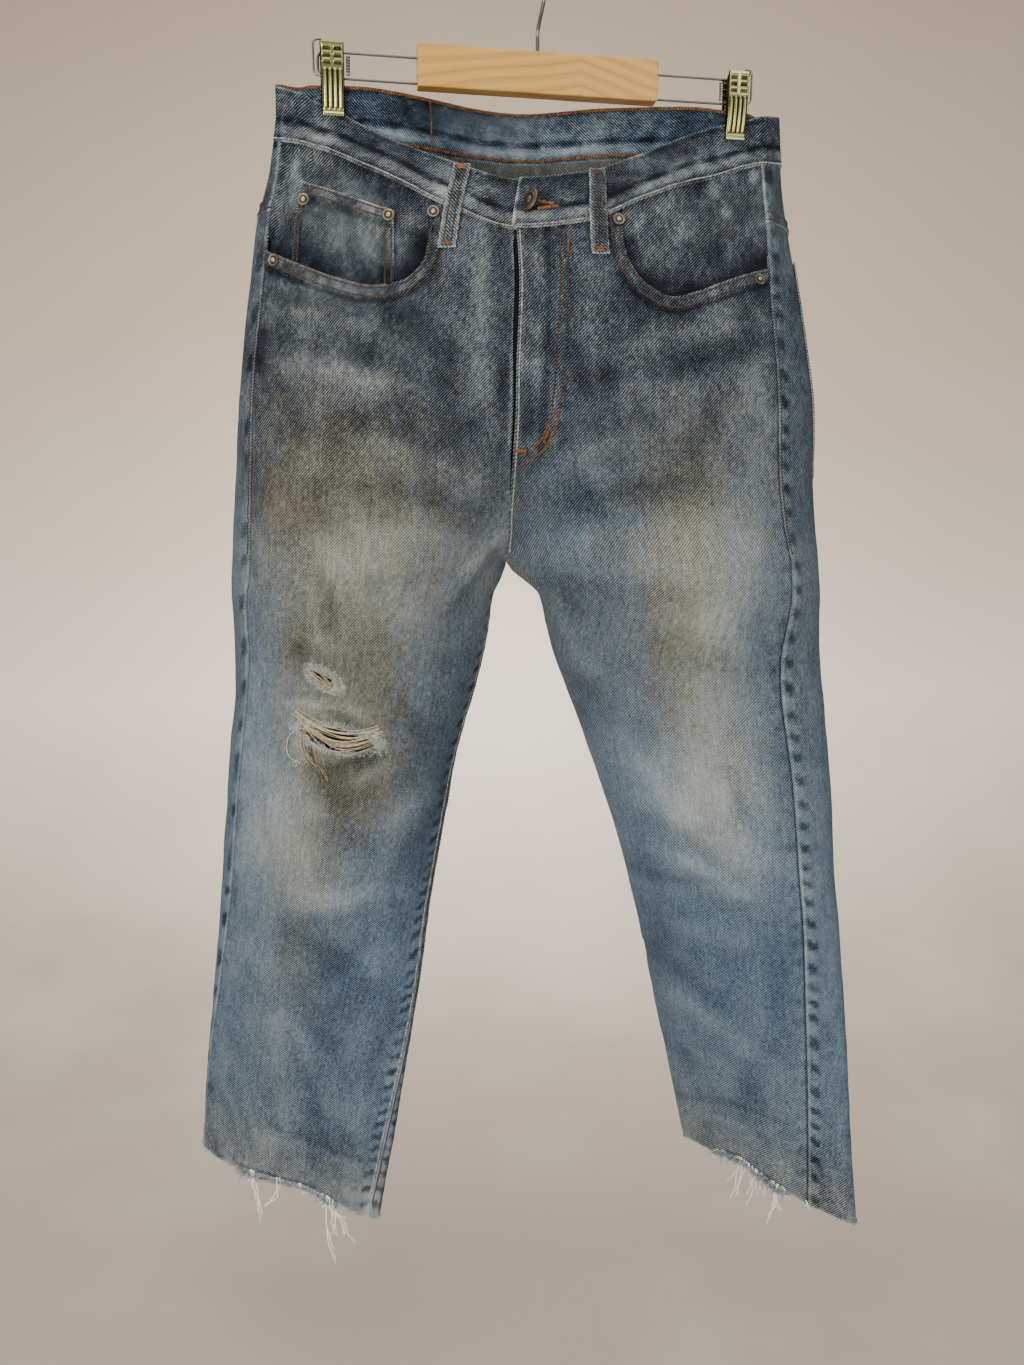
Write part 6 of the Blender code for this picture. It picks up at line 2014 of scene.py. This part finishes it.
# Rivets: name, side, x, z, layer (-1 on the facing).
RIVETS = (
    ("rivet_pocket_right_inner", RIGHT, -77, -177, 0),
    ("rivet_pocket_right_outer", RIGHT, -194, -206.5, 0),
    ("rivet_pocket_left_inner", LEFT, 56, -179, 0),
    ("rivet_pocket_left_outer", LEFT, 163, -217, 0),
    ("rivet_coin_outer", RIGHT, -171.5, -165, -1),
    ("rivet_coin_inner", RIGHT, -109, -178.5, -1),
)
BUTTON_AT = (-8, -169)
BUTTON_OUT = 4.2 * MM               # how far its shank holds it off the waistband
BUTTON_LEAN = (-0.78, 0, 0.1)       # it tips to the wearer's right
# Profiles: radius, height.
RIVET_PROFILE = ((3.9, 0), (4.45, 0.25), (4.5, 0.7), (4.2, 1.05), (3.7, 1.0), (3.1, 0.75),
                 (2.6, 0.72), (2.2, 0.95), (1.7, 1.25), (1.3, 1.2), (1.05, 1.1), (0.8, 1.35),
                 (0.4, 1.55), (0, 1.6))
BUTTON_PROFILE = ((7.4, 0), (8.3, 0.3), (8.5, 1.0), (8.4, 1.7), (7.9, 2.3), (7.3, 2.5), (6.8, 2.35),
                  (6.3, 2.2), (5.8, 2.45), (5.0, 2.6), (4.2, 2.5), (3.6, 2.25), (3.0, 2.2),
                  (2.4, 2.6), (1.6, 3.0), (0.8, 3.15), (0, 3.2))


def fasteners():
    """Turned rivets and waist button, each dished and domed by its profile."""
    for name, side, x, z, layer in RIVETS:
        spot = np.array([z * MM])
        u = place_across(np.array([x * MM]), spot, side, True)
        place, normal = lay(u, spot, side, True, 0.6 * MM + 0.5 * MM + layer * LAYER)
        points, faces, tone = turned_piece(np.array(RIVET_PROFILE) * 1.06 * MM)
        grain = 0.06 * MM * np.sin(np.arctan2(points[:, 1], points[:, 0]) * 16)
        outer = np.hypot(points[:, 0], points[:, 1]) > 2.7 * MM
        points[:, 2] += grain * outer * (points[:, 2] > 0.7 * MM)
        made = make_object(name, stood_on(points, place[0], normal[0]), faces,
                           finish("Rivet Plate"), {"tone": tone}, None, 40)
        belongs(made, "rivet_copper", name)
    x, z = BUTTON_AT[0] * MM, BUTTON_AT[1] * MM
    place, normal = band_lay(np.array([angle_at(x, z, True) + 360]), np.array([z]))
    normal = unit(normal * 0.66 + np.array(BUTTON_LEAN))
    place = place - np.array([0, BUTTON_OUT, 0])
    points, faces, tone = turned_piece(np.array(BUTTON_PROFILE) * MM, 64)
    made = make_object("waist_button", stood_on(points, place[0], normal[0]), faces,
                       finish("Copper"), {"tone": tone * 0.8 + 0.15}, None, 40)
    belongs(made, "button_metal", "waist_button")


# ---- hanger

BAR_TURN = math.radians(10)
# A jaw's side view: height, distance from the bar's middle.
JAW_ROWS = ((-107, 3.2), (-104, 3.2), (-96, 5.2), (-84, 6.6), (-70, 6.9), (-57, 8.6))


def turn_hanger(points):
    """The hanger's own frame turned about the hook."""
    c, s = math.cos(BAR_TURN), math.sin(BAR_TURN)
    x, y = points[..., 0], points[..., 1]
    return np.stack([x * c - y * s, x * s + y * c, points[..., 2]], -1)


def jaw(side, way):
    """Pressed plate: its own curve in side view, four upright ribs on the lower part, two
    columns of short bars above, turned-back edges and a lip. Its tone is painted shade between
    the ribs and bars and on the turned-back edges, and a painted highlight on the lip."""
    v = spaced(-60.5, -107, 0.55)
    x = np.linspace(-8.4, 8.4, 85)
    a, b = np.meshgrid(x, v, indexing="ij")
    away = curve(b, JAW_ROWS) + 0.55
    rib_zone = smoothstep(-b, 76, 79) * (1 - smoothstep(-b, 101, 104)) * (np.abs(a) < 7.2)
    ribs = np.abs(np.sin(a * np.pi / 3.6))**1.3 * rib_zone
    bar_zone = (smoothstep(-b, 62, 63.5) * (1 - smoothstep(-b, 74, 76))
                * smoothstep(np.abs(a), 0.8, 1.5) * (1 - smoothstep(np.abs(a), 6.4, 7.0)))
    bars = np.clip(np.cos((b + 62.5) * 2 * np.pi / 4.6), 0, 1)**0.7 * bar_zone
    rim = -2.4 * smoothstep(np.abs(a), 7.2, 8.4) * smoothstep(-b, 61, 64)
    lip = 0.6 * bell(b, 1.0, -105.8)
    y = way * (away + 0.75 * ribs + 0.75 * bars + rim + lip)
    points = np.stack([side * CLIP_X + a * MM, y * MM, b * MM], -1)
    normal = np.zeros_like(points)
    normal[..., 1] = way
    # painted shade: the tone drops between the ribs and the bars and on the turned-back edges, and a
    # painted highlight lifts it along the lip
    tone = 0.82 - 1.3 * rib_zone * (1 - ribs) - 0.75 * bar_zone * (1 - bars)
    tone = tone * (1 - smoothstep(np.abs(a), 7.0, 7.9)) + 0.2 * bell(b, 1.0, -106)
    return turn_hanger(points), turn_hanger(normal), tone


def clip(side):
    """One clip: two pressed jaws, a coiled spring along a helix and a bent wire bow."""
    for name, way in (("front", -1), ("back", 1)):
        points, normal, tone = jaw(side, way)
        node = "clip_%s_%s" % (SIDE_NAME[side], name)
        made = cloth_shell(node, points, normal, 0.7 * MM, finish("Clip Plate"),
                           {"tone": tone}, points[..., [0, 2]])
        belongs(made, "clip_plate", node)
    t = np.linspace(0, 6.5 * 2 * np.pi, 150)
    coil = np.stack([side * (CLIP_X - 11.4 * MM) + 1.3 * MM * np.cos(t),
                     2.6 * MM * np.sin(t), (-66 - 12 * t / t[-1]) * MM], -1)
    route = np.array(((7, -56), (11, -56.5), (13, -60), (13, -76), (11, -79.5), (7, -80)), float)
    turn = smooth(np.linspace(0, 5, 60), np.arange(6), route)
    bow = np.stack([side * (CLIP_X + turn[:, 0] * MM), np.zeros(60), turn[:, 1] * MM], -1)
    for name, path, radius in (("clip_spring_", coil, 0.5), ("clip_bow_", bow, 0.75)):
        points, quads, caps = strands(turn_hanger(path)[None], radius * MM, 8)
        made = make_object(name + SIDE_NAME[side], points, quads.tolist() + caps.tolist(),
                           finish("Steel Wire"), {"tone": np.full(len(points), 0.25)}, None, 0)
        belongs(made, "steel_wire")


def hanger():
    """The wooden bar and its wires keep their frame shapes; the clips are pressed plate."""
    for side in (RIGHT, LEFT):
        clip(side)
    for node, name in (("hanger_bar", "Pine"), ("hanger_hook", "Steel Wire"),
                       ("hanger_wire_right", "Steel Wire"), ("hanger_wire_left", "Steel Wire"),
                       ("clip_right_block", "Clip Plate"), ("clip_left_block", "Clip Plate")):
        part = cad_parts[node]
        for slot in part.material_slots:
            slot.material = finish(name)


# ---- stage


def stage():
    """Pale floor that sweeps up into a backdrop, soft light and the camera."""
    angle = np.radians(np.linspace(0, 90, 25))
    floor_z, wall_y, bend = -1.19, 1.62, 1.22
    y = np.concatenate([[-3.2, -1.5], wall_y - bend + bend * np.sin(angle), [wall_y]])
    z = np.concatenate([[floor_z, floor_z], floor_z + bend - bend * np.cos(angle), [2.6]])
    x = np.linspace(-4, 4, 9)
    points = np.stack([np.broadcast_to(x[:, None], (9, len(y))), np.broadcast_to(y, (9, len(y))),
                       np.broadcast_to(z, (9, len(y)))], -1)
    number = np.arange(9 * len(y)).reshape(9, -1)
    quads = np.stack([number[:-1, :-1], number[1:, :-1], number[1:, 1:], number[:-1, 1:]], -1)
    floor = make_object("studio_sweep", points.reshape(-1, 3), quads.reshape(-1, 4),
                        finish("Stage Paper"), None, None, 0)
    world = bpy.data.worlds.new("Studio")
    bpy.context.scene.world = world
    world.use_nodes = True
    world.node_tree.nodes["Background"].inputs["Color"].default_value = (0.93, 0.96, 1.0, 1)
    world.node_tree.nodes["Background"].inputs["Strength"].default_value = 0.45
    for name, place, aim, size, power, tint in (
            ("key", (-1.1, -2.2, -0.55), (-0.02, 0, -0.7), 1.4, 62, (1.0, 0.97, 0.93)),
            ("fill", (1.6, -1.9, -0.2), (0, 0, -0.5), 1.8, 18, (0.95, 0.97, 1.0)),
            ("top", (0.0, -0.4, 1.3), (0, 0.4, -0.8), 1.6, 20, (1.0, 0.98, 0.95)),
            ("backdrop", (0.0, 0.47, -0.28), (0, 1.62, -0.68), 0.62, 9, (1.0, 0.95, 0.88)),
            ("rear", (0.0, 1.5, 0.35), (0, 0.0, 0.35), 0.8, 16, (1.0, 0.98, 0.95))):
        lamp = bpy.data.lights.new(name, "AREA")
        lamp.size, lamp.energy, lamp.color = size, power, tint
        made = bpy.data.objects.new(name, lamp)
        made.visible_camera = False
        made.location = place
        aim = np.array(aim) - np.array(place)
        made.rotation_euler = (math.atan2(math.hypot(aim[0], aim[1]), -aim[2]), 0,
                               math.atan2(aim[1], aim[0]) - math.pi / 2)
        bpy.context.scene.collection.objects.link(made)
    lens = bpy.data.cameras.new("Camera")
    lens.sensor_fit, lens.sensor_height, lens.lens = "VERTICAL", 36, 27.03
    camera = bpy.data.objects.new("Camera", lens)
    camera.location = (-0.021, -0.830, -0.366)
    camera.rotation_euler = (math.radians(79), 0, 0)
    bpy.context.scene.collection.objects.link(camera)
    bpy.context.scene.camera = camera


# ---- operators and panel


class Build:
    """What every operator shares: it builds from the scene's sizes and can be undone."""
    bl_options = {"REGISTER", "UNDO"}

    def execute(self, context):
        self.build(context.scene.jeans_sizes)
        return {"FINISHED"}


class JEANS_OT_leg_panels(Build, bpy.types.Operator):
    """Build the fronts and backs of both legs"""
    bl_idname = "jeans.leg_panels"
    bl_label = "Leg Panels"

    def build(self, sizes):
        for side in (RIGHT, LEFT):
            for front in (True, False):
                leg_panel(side, front, sizes)


class JEANS_OT_yokes(Build, bpy.types.Operator):
    """Build the two halves of the yoke"""
    bl_idname = "jeans.yokes"
    bl_label = "Yokes"

    def build(self, sizes):
        yoke(RIGHT, sizes)
        yoke(LEFT, sizes)


class JEANS_OT_front_pockets(Build, bpy.types.Operator):
    """Build the pocket facings and the coin pocket"""
    bl_idname = "jeans.front_pockets"
    bl_label = "Front Pockets"

    def build(self, sizes):
        pocket_facing(RIGHT, sizes)
        pocket_facing(LEFT, sizes)
        coin_pocket(sizes)


class JEANS_OT_back_pockets(Build, bpy.types.Operator):
    """Build the two patch pockets on the seat"""
    bl_idname = "jeans.back_pockets"
    bl_label = "Back Pockets"

    def build(self, sizes):
        back_pocket(RIGHT, sizes)
        back_pocket(LEFT, sizes)


class JEANS_OT_fly(Build, bpy.types.Operator):
    """Build the strip behind the fly's edge"""
    bl_idname = "jeans.fly"
    bl_label = "Fly"

    def build(self, sizes):
        fly_underlay(sizes)


class JEANS_OT_waistband(Build, bpy.types.Operator):
    """Build the waistband and its five belt loops"""
    bl_idname = "jeans.waistband"
    bl_label = "Waistband"

    def build(self, sizes):
        waistband(sizes)
        for row in LOOPS:
            belt_loop(row)


class JEANS_OT_stitching(Build, bpy.types.Operator):
    """Sew every row of topstitching"""
    bl_idname = "jeans.stitching"
    bl_label = "Stitching"

    def build(self, sizes):
        stitching(sizes)


class JEANS_OT_rip_threads(Build, bpy.types.Operator):
    """Lay the bare yarns across the worn holes"""
    bl_idname = "jeans.rip_threads"
    bl_label = "Rip Threads"

    def build(self, sizes):
        rip_threads()


class JEANS_OT_hem_fringe(Build, bpy.types.Operator):
    """Fray the raw hems"""
    bl_idname = "jeans.hem_fringe"
    bl_label = "Hem Fringe"

    def build(self, sizes):
        hem_fringe(RIGHT, sizes)
        hem_fringe(LEFT, sizes)


class JEANS_OT_fasteners(Build, bpy.types.Operator):
    """Set the waist button and the rivets"""
    bl_idname = "jeans.fasteners"
    bl_label = "Button and Rivets"

    def build(self, sizes):
        fasteners()


class JEANS_OT_hanger(Build, bpy.types.Operator):
    """Finish the clip hanger"""
    bl_idname = "jeans.hanger"
    bl_label = "Hanger"

    def build(self, sizes):
        hanger()


class JEANS_OT_stage(Build, bpy.types.Operator):
    """Set the floor, the light and the camera"""
    bl_idname = "jeans.stage"
    bl_label = "Stage"

    def build(self, sizes):
        stage()


OPERATORS = (JEANS_OT_leg_panels, JEANS_OT_yokes, JEANS_OT_front_pockets, JEANS_OT_back_pockets,
             JEANS_OT_fly, JEANS_OT_waistband, JEANS_OT_stitching, JEANS_OT_rip_threads,
             JEANS_OT_hem_fringe, JEANS_OT_fasteners, JEANS_OT_hanger, JEANS_OT_stage)


class JEANS_PT_build(bpy.types.Panel):
    """Buttons that build the jeans, and their sizes and colours"""
    bl_label = "Ripped Jeans"
    bl_idname = "JEANS_PT_build"
    bl_space_type = "VIEW_3D"
    bl_region_type = "UI"
    bl_category = "Jeans"

    def draw(self, context):
        for group in (context.scene.jeans_sizes, context.scene.jeans_colours):
            for name in group.bl_rna.properties.keys():
                if name not in ("rna_type", "name"):
                    self.layout.prop(group, name)
        for operator in OPERATORS:
            self.layout.operator(operator.bl_idname)


CLASSES = (JeansSizes, JeansColours) + OPERATORS + (JEANS_PT_build,)


def register():
    for item in CLASSES:
        bpy.utils.register_class(item)
    bpy.types.Scene.jeans_sizes = bpy.props.PointerProperty(type=JeansSizes)
    bpy.types.Scene.jeans_colours = bpy.props.PointerProperty(type=JeansColours)


def unregister():
    del bpy.types.Scene.jeans_colours
    del bpy.types.Scene.jeans_sizes
    for item in reversed(CLASSES):
        bpy.utils.unregister_class(item)


def main():
    register()
    for operator in OPERATORS:
        getattr(bpy.ops.jeans, operator.bl_idname.split(".")[1])()


if __name__ == "__main__":
    main()
